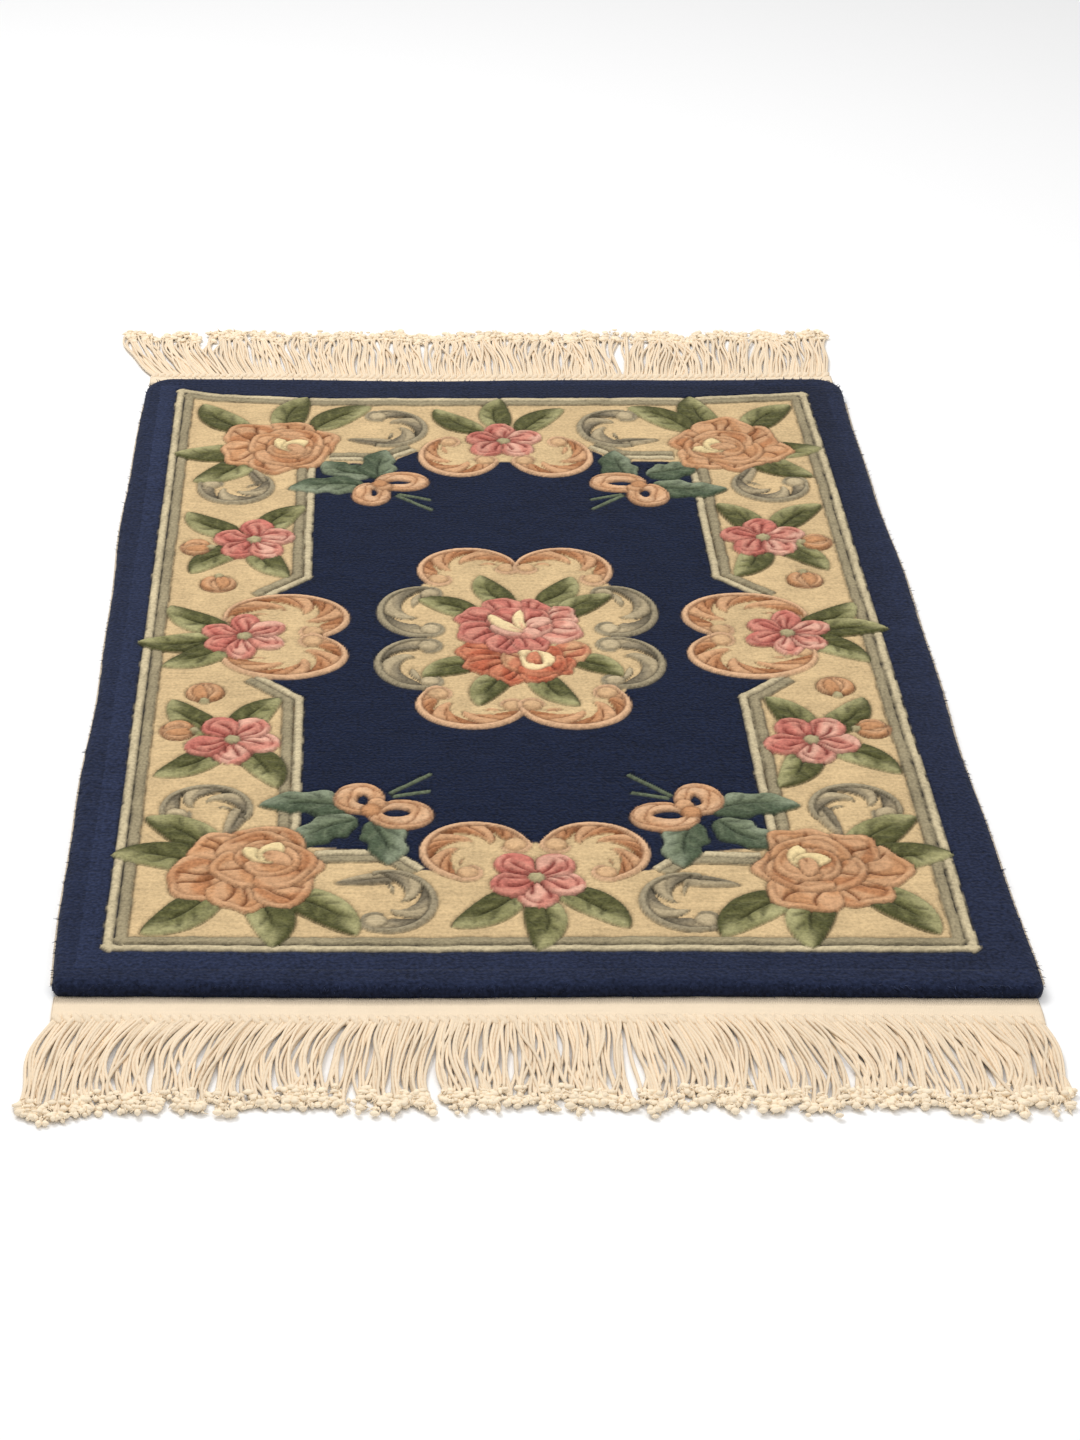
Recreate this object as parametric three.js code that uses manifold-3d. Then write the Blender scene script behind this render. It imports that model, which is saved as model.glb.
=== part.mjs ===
// A small hand-knotted wool rug with a carved flower pattern, lying flat on the floor.
// Millimetres, +Z up. The origin is on the floor under the middle of the pile, +Y runs along the
// length to the far end, and the floor is z = 0. One slab is the pile, with its carved motifs
// standing a little proud. Each end has a woven cotton band with its fringe, each side a selvedge.
import * as THREE from "three";
import Module from "manifold-3d";

const wasm = await Module();
wasm.setup();

// Driving dimensions
const HALF_WIDTH = 303;
const PILE_NEAR = -453;
const PILE_FAR = 452;
const GROUND = 11.5; // height of the plain pile
const EDGE_SOFTNESS = 3.5; // rounding of the pile's upper rim
const NEAR_CORNER = 7;
const FAR_CORNER = 24;
const SIDE_STEPS = 12;
const END_STEPS = 10;
const CORNER_STEPS = 3;
const GAP = 0.3; // between one piece and the next
const PATTERN_SHIFT = -5; // the tables below count y from the pattern's own middle

const SEAT = GROUND - 0.6; // where a motif's foot sits inside the slab
const SLOPE = 2.4; // how far a motif's flank leans in
const BAND_FLANK = 1.9; // and a raised band's flank
const NARROWEST_CREST = 0.3; // of a raised band's half width
const SHARPEST_BEND = 0.5; // cosine at which a mitre stops growing
const CREST = {
  stem: 12.4,
  stripe: 12.5,
  leaf: 12.8,
  petal: 12.8,
  scroll: 12.9,
  curl: 13.1,
  inner: 13.2,
  eye: 13.4,
  heart: 13.6,
};
const OUTLINE_POINTS = { petal: 5, middle: 7, heart: 5, eye: 4, bud: 6, curl: 5 };

// Each clearance is the gap plus what the coarse steps of the pile's edge stray from its wave.
const SELVEDGE = {
  width: 4,
  height: 4.5,
  endClearance: 8,
  clearance: GAP + 0.4,
  section: [[0, 0], [0.9, 0], [1, 0.45], [0.7, 0.95], [0, 1]], // shares of the width and height
};
const BAND = { halfLength: 301, width: 20, height: 3, steps: 12, clearance: GAP + 0.5 };
const STRAND = {
  count: 100,
  halfSpread: 296,
  halfWidth: 1.6,
  height: 2.5,
  buried: 2, // how far its root reaches into the band
  ragged: 5, // how far its length strays
  stations: [0, 0.45, 1],
  bend: 1.4, // power by which the lean grows along the strand
};
const NEAR_STRAND_LENGTH = 90;
const FAR_STRAND_LENGTH = 92;
const GOLDEN_ANGLE = Math.PI * (3 - Math.sqrt(5));

// The pile's sides and ends aren't quite straight: small waves, and the far end dips in its middle.
const SIDE_WAVES = [{ height: 1.3, pitch: 74, phase: 1 }, { height: 0.6, pitch: 29, phase: -2 }];
const NEAR_WAVE = { height: 0.8, pitch: 60 };
const FAR_WAVE = { height: 0.8, pitch: 37 };
const FAR_DIP = { corners: 2.5, middle: -1.5, reach: 300 };
const CORNER_FADE = 8; // power by which a wave grows towards its own side
const sideWave = (y, side) =>
  SIDE_WAVES.reduce((sum, { height, pitch, phase }) => sum + height * Math.sin(y / pitch + phase * side), 0);
const nearWave = (x) => NEAR_WAVE.height * Math.sin(x / NEAR_WAVE.pitch);
const farWave = (x) =>
  FAR_DIP.middle +
  (FAR_DIP.corners - FAR_DIP.middle) * (x / FAR_DIP.reach) ** 2 +
  FAR_WAVE.height * Math.sin(x / FAR_WAVE.pitch);

// How far the fringe falls sideways, growing along a strand. At the near end it falls outward on both
// sides and straightens towards the right corner. At the far end it parts at one place.
const NEAR_FALL = { most: 17, pitch: 170, straightens: 150, fade: 260 };
const FAR_FALL = { left: 24, right: 18, reach: 300, parting: 117, opening: 4, fade: 40 };
const nearLean = (x) => {
  const past = Math.max(0, x - NEAR_FALL.straightens);
  return NEAR_FALL.most * Math.sin(x / NEAR_FALL.pitch) * (1 - past / NEAR_FALL.fade);
};
const farLean = (x) => {
  const away = x - FAR_FALL.parting;
  const parted = FAR_FALL.opening * Math.sign(away) * Math.exp(-Math.abs(away) / FAR_FALL.fade);
  const share = x / FAR_FALL.reach;
  return (x < 0 ? -FAR_FALL.left * share ** 2 : FAR_FALL.right * share) + parted;
};

// Corner roses: centre, turn in degrees, and each leaf as [angle, reach from the centre].
const ROSES = [
  { x: -185, y: 318, turn: 20, leaves: [[128, 106], [76, 101], [45, 112], [189, 86], [225, 94]] },
  { x: 192, y: 320, turn: 160, leaves: [[52, 102], [103, 100], [136, 108], [-4, 78], [-43, 88]] },
  { x: -188, y: -320, turn: 75, leaves: [[138, 93], [169, 90], [229, 97], [283, 90], [-46, 104]] },
  { x: 190, y: -322, turn: -60, leaves: [[44, 93], [13, 86], [-50, 93], [256, 90], [224, 107]] },
];
const ROSE = { petals: 6, petalAt: 32, petal: [16, 17], middle: 20, heart: 10 };

// Open flowers: centre, first petal's angle, number of petals, and the leaves as above.
const FLOWERS = [
  { x: 5, y: 327, turn: 90, petals: 5, leaves: [[90, 86], [131, 86], [50, 84]] },
  { x: 0, y: -331, turn: -90, petals: 5, leaves: [[-92, 80], [224, 78], [-45, 79]] },
  { x: -200, y: -10, turn: 92, petals: 6, leaves: [[141, 75], [186, 79], [217, 73]] },
  { x: 202, y: -5, turn: 85, petals: 6, leaves: [[41, 74], [6, 77], [-37, 69]] },
  { x: -198, y: 146, turn: 90, petals: 5, leaves: [[138, 74], [57, 71], [230, 73], [-65, 68]] },
  { x: -203, y: -158, turn: -90, petals: 5, leaves: [[129, 72], [61, 66], [222, 70], [-62, 71]] },
  { x: 202, y: 150, turn: 90, petals: 5, leaves: [[117, 68], [47, 79], [246, 70], [-51, 69]] },
  { x: 200, y: -158, turn: -90, petals: 5, leaves: [[113, 65], [53, 74], [244, 68], [-39, 71]] },
];
const FLOWER = { petalAt: 20, petal: [13, 11.5], eye: 6 };

// Buds: centre and radius.
const BUDS = [
  { x: -243, y: 134, r: 13 },
  { x: -223, y: 73, r: 14 },
  { x: -242, y: -145, r: 13 },
  { x: -225, y: -92, r: 14 },
  { x: 243, y: 143, r: 13 },
  { x: 226, y: 80, r: 14 },
  { x: 245, y: -143, r: 13 },
  { x: 227, y: -83, r: 14 },
];

// Bunch in the middle: a large rose over a smaller one.
const BUNCH = {
  large: { x: 3, y: 8, turn: 10, petals: 7, petalAt: 33, petal: [15, 15], middle: 20, heart: 9 },
  small: { x: 8, y: -44, turn: 35, petals: 6, petalAt: 25, petal: [12, 13], middle: 15, heart: 7 },
  leaves: [
    { x: 0, y: 40, angle: 116, length: 48 },
    { x: 20, y: 40, angle: 58, length: 48 },
    { x: -28, y: 22, angle: 148, length: 46 },
    { x: 36, y: 20, angle: 40, length: 48 },
    { x: -25, y: -48, angle: 205, length: 45 },
    { x: 40, y: -42, angle: -36, length: 40 },
    { x: -6, y: -62, angle: 244, length: 50 },
    { x: 14, y: -62, angle: -60, length: 52 },
  ],
};

// Scrolls: centre, radius across and along, and the angles at which the sweep starts and ends.
const SCROLLS = [
  { x: -92, y: 353, rx: 31, ry: 34, from: -140, to: 112 },
  { x: 102, y: 353, rx: 31, ry: 34, from: -40, to: -292 },
  { x: -216, y: 242, rx: 29, ry: 30, from: 62, to: -190 },
  { x: 219, y: 245, rx: 29, ry: 29, from: 118, to: 370 },
  { x: -96, y: -357, rx: 29, ry: 33, from: 140, to: -112 },
  { x: 97, y: -358, rx: 30, ry: 31, from: 40, to: 292 },
  { x: -217, y: -248, rx: 29, ry: 28, from: -50, to: 200 },
  { x: 218, y: -247, rx: 29, ry: 28, from: 230, to: -20 },
  { x: -33, y: 299, rx: 29, ry: 35, from: 110, to: 340 },
  { x: 43, y: 299, rx: 31, ry: 35, from: 70, to: -160 },
  { x: -37, y: -300, rx: 33, ry: 32, from: 20, to: 255 },
  { x: 39, y: -300, rx: 32, ry: 32, from: 160, to: -75 },
  { x: -170, y: 20, rx: 40, ry: 29, from: 165, to: -55 },
  { x: -171, y: -41, rx: 40, ry: 25, from: 55, to: -165 },
  { x: 174, y: 22, rx: 41, ry: 29, from: 15, to: 235 },
  { x: 173, y: -40, rx: 41, ry: 25, from: 125, to: 345 },
  { x: -34, y: 95, rx: 33, ry: 32, from: 20, to: 215 },
  { x: 43, y: 95, rx: 32, ry: 32, from: 160, to: -35 },
  { x: -68, y: 29, rx: 29, ry: 32, from: 75, to: 285 },
  { x: -70, y: -50, rx: 29, ry: 31, from: 75, to: 285 },
  { x: 76, y: 29, rx: 28, ry: 32, from: 105, to: -105 },
  { x: 75, y: -47, rx: 27, ry: 30, from: 105, to: -105 },
  { x: -37, y: -108, rx: 34, ry: 30, from: 145, to: 340 },
  { x: 40, y: -107, rx: 35, ry: 31, from: 35, to: -160 },
];
const SCROLL = { width: 14, steps: 6, taper: 0.6, curl: 8, curlAt: 0.62 };

// Bows in the field's corners: two loops, three leaves and two stems.
const BOWS = [
  {
    loops: [{ x: -84, y: 249, rx: 20, ry: 14 }, { x: -105, y: 226, rx: 14, ry: 18 }],
    leaves: [
      { x: -108, y: 262, angle: 152, length: 44 },
      { x: -99, y: 258, angle: 85, length: 50 },
      { x: -112, y: 240, angle: 183, length: 60 },
    ],
    stems: [[-86, 226, -57, 199], [-84, 228, -58, 217]],
  },
  {
    loops: [{ x: 98, y: 249, rx: 24, ry: 14 }, { x: 117, y: 226, rx: 15, ry: 17 }],
    leaves: [
      { x: 122, y: 264, angle: 30, length: 44 },
      { x: 107, y: 258, angle: 100, length: 50 },
      { x: 124, y: 246, angle: -8, length: 58 },
    ],
    stems: [[99, 228, 71, 202], [97, 229, 71, 219]],
  },
  {
    loops: [{ x: -89, y: -254, rx: 20, ry: 15 }, { x: -114, y: -236, rx: 14, ry: 17 }],
    leaves: [
      { x: -118, y: -262, angle: 221, length: 50 },
      { x: -106, y: -264, angle: -80, length: 50 },
      { x: -120, y: -247, angle: 177, length: 60 },
    ],
    stems: [[-94, -228, -66, -203], [-92, -232, -67, -225]],
  },
  {
    loops: [{ x: 94, y: -256, rx: 24, ry: 15 }, { x: 113, y: -236, rx: 15, ry: 17 }],
    leaves: [
      { x: 126, y: -262, angle: -38, length: 48 },
      { x: 110, y: -266, angle: 256, length: 52 },
      { x: 122, y: -250, angle: 6, length: 58 },
    ],
    stems: [[96, -230, 69, -203], [94, -233, 69, -226]],
  },
];
const BOW = { width: 9, stem: 4, steps: 7 };
const LEAF = {
  length: 54,
  width: 23,
  outline: [[0, 0], [0.3, -0.5], [0.7, -0.34], [1, 0], [0.45, 0.48]], // shares along and across
};

// Guard stripes: pairs of bands, a cream one outside and a grey-green one inside the border.
const OUTER_STRIPE = [
  [-274, -412],
  [272, -412],
  [272, 428],
  [160, 415],
  [-150, 415],
  [-235, 422],
  [-274, 434],
];
const INNER_STRIPES = [
  [[-152, 280], [-152, 83], [-192, 52]],
  [[-192, -70], [-154, -99], [-154, -285]],
  [[196, 52], [156, 84], [156, 280]],
  [[156, -285], [156, -96], [198, -70]],
  [[-68, 310], [-92, 290], [-140, 290]],
  [[145, 293], [98, 295], [75, 315]],
  [[-143, -298], [-92, -296], [-72, -318]],
  [[76, -318], [95, -299], [148, -300]],
];
const BAND_PAIR = { cream: 3.2, grey: 11.4, creamWidth: 6, greyWidth: 8 };

const turned = (x, y, angle) => {
  const c = Math.cos(angle);
  const s = Math.sin(angle);
  return [x * c - y * s, x * s + y * c];
};
const degrees = THREE.MathUtils.degToRad;

// A closed solid from rings of equal length: walls between them, a cap on the first and the last.
function lofted(rings) {
  const count = rings[0].length;
  const triangles = [];
  for (let k = 0; k + 1 < rings.length; k++) {
    for (let i = 0; i < count; i++) {
      const j = (i + 1) % count;
      const [a, b, c, d] = [k * count + i, k * count + j, (k + 1) * count + j, (k + 1) * count + i];
      triangles.push(a, b, c, a, c, d);
    }
  }
  const capOf = (ring) =>
    THREE.ShapeUtils.triangulateShape(
      ring.map(([x, y]) => new THREE.Vector2(x, y)),
      [],
    );
  const last = (rings.length - 1) * count;
  for (const [a, b, c] of capOf(rings[0])) triangles.push(a, c, b);
  for (const [a, b, c] of capOf(rings.at(-1))) triangles.push(last + a, last + b, last + c);
  return solid(rings.flat(2), triangles);
}

// A bar of a four-sided or three-sided section along stations that are given as rings.
function bar(stations, closed = false) {
  const sides = stations[0].length;
  const count = stations.length;
  const triangles = [];
  for (let k = 0; k < (closed ? count : count - 1); k++) {
    const next = (k + 1) % count;
    for (let i = 0; i < sides; i++) {
      const j = (i + 1) % sides;
      const [a, b, c, d] = [k * sides + i, k * sides + j, next * sides + j, next * sides + i];
      triangles.push(a, b, c, a, c, d);
    }
  }
  if (!closed) {
    const last = (count - 1) * sides;
    for (let i = 1; i + 1 < sides; i++) {
      triangles.push(0, i + 1, i, last, last + i, last + i + 1);
    }
  }
  return solid(stations.flat(2), triangles);
}

function solid(positions, triangles) {
  const build = (order) =>
    new wasm.Manifold(
      new wasm.Mesh({
        numProp: 3,
        vertProperties: new Float32Array(positions),
        triVerts: new Uint32Array(order),
      }),
    );
  const made = build(triangles);
  if (made.volume() > 0) return made;
  const flipped = [];
  for (let i = 0; i < triangles.length; i += 3) {
    flipped.push(triangles[i], triangles[i + 2], triangles[i + 1]);
  }
  return build(flipped);
}

// A motif with leaning flanks: its outline at the seat, drawn in towards its middle at the crest.
function pillow(outline, crest) {
  const middle = [0, 1].map((k) => outline.reduce((sum, p) => sum + p[k], 0) / outline.length);
  const foot = outline.map(([x, y]) => [x, y, SEAT]);
  const top = outline.map(([x, y]) => {
    const dx = x - middle[0];
    const dy = y - middle[1];
    const keep = 1 - SLOPE / Math.hypot(dx, dy);
    return [middle[0] + dx * keep, middle[1] + dy * keep, crest];
  });
  return lofted([foot, top]);
}

function oval(x, y, rx, ry, angle, crest, points) {
  const outline = [];
  for (let i = 0; i < points; i++) {
    const t = (2 * Math.PI * i) / points;
    const [dx, dy] = turned(rx * Math.cos(t), ry * Math.sin(t), angle);
    outline.push([x + dx, y + PATTERN_SHIFT + dy]);
  }
  return pillow(outline, crest);
}

// A leaf from its base: a pointed shape, widest at a third of its length.
function leaf({ x, y, angle, length }) {
  const outline = LEAF.outline.map(([along, across]) => {
    const [dx, dy] = turned(along * length, across * LEAF.width, degrees(angle));
    return [x + dx, y + PATTERN_SHIFT + dy];
  });
  return pillow(outline, CREST.leaf);
}

// Leaves around a flower, each from its own base out to the reach in the table.
function leavesAround({ x, y, leaves }) {
  return leaves.map(([angle, reach]) => {
    const [dx, dy] = turned(reach - LEAF.length, 0, degrees(angle));
    return leaf({ x: x + dx, y: y + dy, angle, length: LEAF.length });
  });
}

function ringOfPetals({ x, y, turn }, count, at, [long, wide], crest) {
  const petals = [];
  for (let i = 0; i < count; i++) {
    const angle = degrees(turn + (360 * i) / count);
    const [dx, dy] = turned(at, 0, angle);
    petals.push(oval(x + dx, y + dy, long, wide, angle, crest, OUTLINE_POINTS.petal));
  }
  return petals;
}

function rose(place, form) {
  const { petals, petalAt, petal, middle, heart } = form;
  return [
    ...ringOfPetals(place, petals, petalAt, petal, CREST.petal),
    oval(place.x, place.y, middle, middle, degrees(place.turn), CREST.inner, OUTLINE_POINTS.middle),
    oval(place.x, place.y, heart, heart, 0, CREST.heart, OUTLINE_POINTS.heart),
  ];
}

function openFlower(place) {
  return [
    ...ringOfPetals(place, place.petals, FLOWER.petalAt, FLOWER.petal, CREST.petal),
    oval(place.x, place.y, FLOWER.eye, FLOWER.eye, 0, CREST.eye, OUTLINE_POINTS.eye),
  ];
}

// A path's direction at one of its points, and how much its width grows there to mitre the bend.
function bendAt(path, i, closed) {
  const point = path[i];
  const before = path[i - 1] ?? (closed ? path.at(-1) : point);
  const after = path[i + 1] ?? (closed ? path[0] : point);
  const inward = new THREE.Vector2(point[0] - before[0], point[1] - before[1]).normalize();
  const outward = new THREE.Vector2(after[0] - point[0], after[1] - point[1]).normalize();
  const along = inward.clone().add(outward).normalize();
  const reference = inward.lengthSq() > 0 ? inward : outward;
  return { along, mitre: 1 / Math.max(SHARPEST_BEND, along.dot(reference)) };
}

// A raised band along a path: feet at the seat, a narrower crest, and mitred bends. A point's third
// number is its share of the width.
function raisedBand(path, width, crest, closed = false) {
  const stations = path.map((point, i) => {
    const { along, mitre } = bendAt(path, i, closed);
    const half = ((point[2] ?? 1) * width * mitre) / 2;
    const crestHalf = Math.max(NARROWEST_CREST * half, half - BAND_FLANK);
    const at = (side, z) => [point[0] - along.y * side, point[1] + along.x * side, z];
    return [at(half, SEAT), at(-half, SEAT), at(-crestHalf, crest), at(crestHalf, crest)];
  });
  return bar(stations, closed);
}

// A scroll: a band along an oval arc that narrows to its ends, with a round curl at each end.
function scroll({ x, y, rx, ry, from, to }) {
  const path = [];
  for (let i = 0; i <= SCROLL.steps; i++) {
    const t = i / SCROLL.steps;
    const angle = degrees(from + (to - from) * t);
    const width = SCROLL.taper + (1 - SCROLL.taper) * Math.sin(Math.PI * t);
    path.push([x + rx * Math.cos(angle), y + PATTERN_SHIFT + ry * Math.sin(angle), width]);
  }
  const curlX = x + rx * SCROLL.curlAt * Math.cos(degrees(to));
  const curlY = y + ry * SCROLL.curlAt * Math.sin(degrees(to));
  return [
    raisedBand(path, SCROLL.width, CREST.scroll),
    oval(curlX, curlY, SCROLL.curl, SCROLL.curl, 0, CREST.curl, OUTLINE_POINTS.curl),
  ];
}

// A stripe's line: the path from a table, moved to its left by a distance.
function shifted(path, distance, closed = false) {
  return path.map(([x, y], i) => {
    const { along, mitre } = bendAt(path, i, closed);
    return [x - along.y * distance * mitre, y + PATTERN_SHIFT + along.x * distance * mitre];
  });
}

// The outer guard stripe: two closed bands, inside the line of its corners.
function outerStripe() {
  return [
    raisedBand(shifted(OUTER_STRIPE, BAND_PAIR.cream, true), BAND_PAIR.creamWidth, CREST.stripe, true),
    raisedBand(shifted(OUTER_STRIPE, BAND_PAIR.grey, true), BAND_PAIR.greyWidth, CREST.stripe, true),
  ];
}

function innerStripes() {
  return INNER_STRIPES.flatMap((path) => [
    raisedBand(shifted(path, -BAND_PAIR.cream), BAND_PAIR.creamWidth, CREST.stripe),
    raisedBand(shifted(path, -BAND_PAIR.grey), BAND_PAIR.greyWidth, CREST.stripe),
  ]);
}

function bow({ loops, leaves, stems }) {
  const rings = loops.map(({ x, y, rx, ry }) => {
    const path = [];
    for (let i = 0; i < BOW.steps; i++) {
      const t = (2 * Math.PI * i) / BOW.steps;
      path.push([
        x + (rx - BOW.width / 2) * Math.cos(t),
        y + PATTERN_SHIFT + (ry - BOW.width / 2) * Math.sin(t),
      ]);
    }
    return raisedBand(path, BOW.width, CREST.inner, true);
  });
  const stalks = stems.map(([x0, y0, x1, y1]) =>
    raisedBand([[x0, y0 + PATTERN_SHIFT], [x1, y1 + PATTERN_SHIFT]], BOW.stem, CREST.stem),
  );
  return [...rings, ...leaves.map(leaf), ...stalks];
}

// The pile's outline, anticlockwise, drawn in by an inset all round.
function pileOutline(inset) {
  const corners = [
    { x: HALF_WIDTH, y: PILE_NEAR, r: NEAR_CORNER, start: -90 },
    { x: HALF_WIDTH, y: PILE_FAR, r: FAR_CORNER, start: 0 },
    { x: -HALF_WIDTH, y: PILE_FAR, r: FAR_CORNER, start: 90 },
    { x: -HALF_WIDTH, y: PILE_NEAR, r: NEAR_CORNER, start: 180 },
  ];
  const points = [];
  corners.forEach(({ x, y, r, start }, k) => {
    const centre = [x - Math.sign(x) * r, y - Math.sign(y) * r];
    const radius = r - inset;
    for (let i = 0; i <= CORNER_STEPS; i++) {
      const angle = degrees(start + (90 * i) / CORNER_STEPS);
      points.push([centre[0] + radius * Math.cos(angle), centre[1] + radius * Math.sin(angle)]);
    }
    const next = corners[(k + 1) % corners.length];
    const following = [
      next.x - Math.sign(next.x) * next.r + (next.r - inset) * Math.cos(degrees(next.start)),
      next.y - Math.sign(next.y) * next.r + (next.r - inset) * Math.sin(degrees(next.start)),
    ];
    const last = points.at(-1);
    const steps = k % 2 ? END_STEPS : SIDE_STEPS;
    for (let i = 1; i < steps; i++) {
      const t = i / steps;
      points.push([last[0] + (following[0] - last[0]) * t, last[1] + (following[1] - last[1]) * t]);
    }
  });
  return points.map(([x, y]) => {
    const sideways = Math.abs(x) / HALF_WIDTH;
    const lengthways = y < 0 ? y / PILE_NEAR : y / PILE_FAR;
    const endwise = y < 0 ? nearWave(x) : farWave(x);
    return [
      x + Math.sign(x) * sideWave(y, Math.sign(x)) * sideways ** CORNER_FADE,
      y + endwise * Math.max(0, lengthways) ** CORNER_FADE,
    ];
  });
}

function pile() {
  const ring = (inset, z) => pileOutline(inset).map(([x, y]) => [x, y, z]);
  const slab = lofted([ring(0, 0), ring(0, GROUND - EDGE_SOFTNESS), ring(EDGE_SOFTNESS, GROUND)]);
  const motifs = [
    ...outerStripe(),
    ...innerStripes(),
    ...ROSES.flatMap((row) => [...leavesAround(row), ...rose(row, ROSE)]),
    ...FLOWERS.flatMap((row) => [...leavesAround(row), ...openFlower(row)]),
    ...BUDS.map(({ x, y, r }) => oval(x, y, r, r, 0, CREST.petal, OUTLINE_POINTS.bud)),
    ...SCROLLS.flatMap(scroll),
    ...BOWS.flatMap(bow),
    ...BUNCH.leaves.map(leaf),
    ...rose(BUNCH.large, BUNCH.large),
    ...rose(BUNCH.small, BUNCH.small),
  ];
  return motifs.reduce((whole, motif) => whole.add(motif), slab);
}

// The side binding: a low round-backed cord along the pile's side wall.
function selvedge(side) {
  const from = PILE_NEAR + SELVEDGE.endClearance + NEAR_CORNER;
  const to = PILE_FAR - SELVEDGE.endClearance - FAR_CORNER;
  const stations = [];
  for (let i = 0; i <= SIDE_STEPS; i++) {
    const y = from + ((to - from) * i) / SIDE_STEPS;
    const inner = side * (HALF_WIDTH + sideWave(y, side) + SELVEDGE.clearance);
    stations.push(
      SELVEDGE.section.map(([across, up]) => [
        inner + side * across * SELVEDGE.width,
        y,
        up * SELVEDGE.height,
      ]),
    );
  }
  return bar(stations);
}

// One end: the woven band outside the pile's end, and its strands with their roots in the band.
function fringe(end, edge, wave, lean, length) {
  const outward = Math.sign(end);
  const stations = [];
  for (let i = 0; i <= BAND.steps; i++) {
    const x = -BAND.halfLength + (2 * BAND.halfLength * i) / BAND.steps;
    const inner = edge + wave(x) + outward * BAND.clearance;
    const outer = inner + outward * BAND.width;
    stations.push([[x, inner, 0], [x, outer, 0], [x, outer, BAND.height], [x, inner, BAND.height]]);
  }
  let whole = bar(stations);
  for (let i = 0; i < STRAND.count; i++) {
    const x = STRAND.halfSpread * ((2 * i) / (STRAND.count - 1) - 1);
    const root = edge + wave(x) + outward * (BAND.width - STRAND.buried);
    const reach = length + STRAND.buried + STRAND.ragged * Math.sin(i * GOLDEN_ANGLE);
    const profile = STRAND.stations.map((t) => {
      const cx = x + lean(x) * t ** STRAND.bend;
      const cy = root + outward * reach * t;
      return [[cx - STRAND.halfWidth, cy, 0], [cx + STRAND.halfWidth, cy, 0], [cx, cy, STRAND.height]];
    });
    whole = whole.add(bar(profile));
  }
  return whole;
}

function meshOf(name, body, material) {
  const { numProp, vertProperties, triVerts } = body.getMesh();
  const points = [];
  for (let i = 0; i < vertProperties.length; i += numProp) {
    points.push(vertProperties[i], vertProperties[i + 1], vertProperties[i + 2]);
  }
  const geometry = new THREE.BufferGeometry();
  geometry.setAttribute("position", new THREE.Float32BufferAttribute(points, 3));
  geometry.setIndex([...triVerts]);
  geometry.computeVertexNormals();
  const mesh = new THREE.Mesh(geometry, material);
  mesh.name = name;
  return mesh;
}

const wool = new THREE.MeshStandardMaterial({ color: "#2b3a66", roughness: 0.95, metalness: 0 });
const cotton = new THREE.MeshStandardMaterial({ color: "#eedcb8", roughness: 0.9, metalness: 0 });

const rug = new THREE.Group();
rug.add(
  meshOf("rug_pile", pile(), wool),
  meshOf("fringe_near", fringe(-1, PILE_NEAR, nearWave, nearLean, NEAR_STRAND_LENGTH), cotton),
  meshOf("fringe_far", fringe(1, PILE_FAR, farWave, farLean, FAR_STRAND_LENGTH), cotton),
  meshOf("selvedge_left", selvedge(-1), cotton),
  meshOf("selvedge_right", selvedge(1), cotton),
);

export default rug;
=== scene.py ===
"""A small carved wool rug with long cotton fringe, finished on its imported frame. Metres, +Z up."""
from math import atan2, copysign, cos, hypot, pi, radians, sin, sqrt

import bpy
import numpy as np
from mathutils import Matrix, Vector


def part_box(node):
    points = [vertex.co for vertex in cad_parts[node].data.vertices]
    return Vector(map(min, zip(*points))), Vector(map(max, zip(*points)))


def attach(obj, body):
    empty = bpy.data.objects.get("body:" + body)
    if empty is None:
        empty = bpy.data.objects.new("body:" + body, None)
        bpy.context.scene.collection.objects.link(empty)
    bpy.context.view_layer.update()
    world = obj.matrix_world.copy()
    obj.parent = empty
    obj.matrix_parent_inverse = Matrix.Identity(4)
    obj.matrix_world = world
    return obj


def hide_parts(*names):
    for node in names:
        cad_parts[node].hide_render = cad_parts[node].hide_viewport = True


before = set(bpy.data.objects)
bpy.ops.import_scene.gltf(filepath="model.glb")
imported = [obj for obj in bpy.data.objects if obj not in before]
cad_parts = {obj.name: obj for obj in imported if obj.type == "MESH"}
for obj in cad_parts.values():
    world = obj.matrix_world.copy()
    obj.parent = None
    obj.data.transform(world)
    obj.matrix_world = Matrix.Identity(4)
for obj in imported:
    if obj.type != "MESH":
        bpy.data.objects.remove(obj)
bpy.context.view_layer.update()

MM = 0.001

# Driving sizes of the pile, as in the solids
HALF_WIDTH = 303 * MM
PILE_NEAR = -453 * MM
PILE_FAR = 452 * MM
GROUND = 11.5 * MM
NEAR_CORNER = 7 * MM
FAR_CORNER = 24 * MM
BACK_THICKNESS = 1.2 * MM
GRID_STEP = 3 * MM
BACK_STEP = 9 * MM
HOLLOW = 5 * MM  # how deep the plain pile is hollowed under the carved patches

# The carved pattern, in mm. Its tables and motifs count y from the pattern's own middle.
PATTERN_SHIFT = -5  # of that middle from the part's
EDGE_DIP = 1.3  # how far the pile is cut down at a motif's edge, which also sets the painted shade in that cut
GROOVE_DEPTH = 1.8  # the deepest such cut
GROOVE_WIDTH = 2.0
ROOM = GROOVE_WIDTH + 1  # round a motif in its box
EDGE_ROUND = 2.2  # how wide a carved edge rounds over
EDGE_SOFT = 1.5  # how wide one tint changes into the next
STRIPE_STEP = 4.0
GREY_FEATHER, PEACH_FEATHER = 84, 66  # degrees of a scroll's sweep to a feather
LATTICE = 1.4  # between the carved patches' lines
PATCH_ACROSS, PATCH_ALONG = 207, 312  # lines from the middle to the patches' outer edges
SIDE_SEAM, NEAR_SEAM, FAR_SEAM = 87, -139, 136

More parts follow.
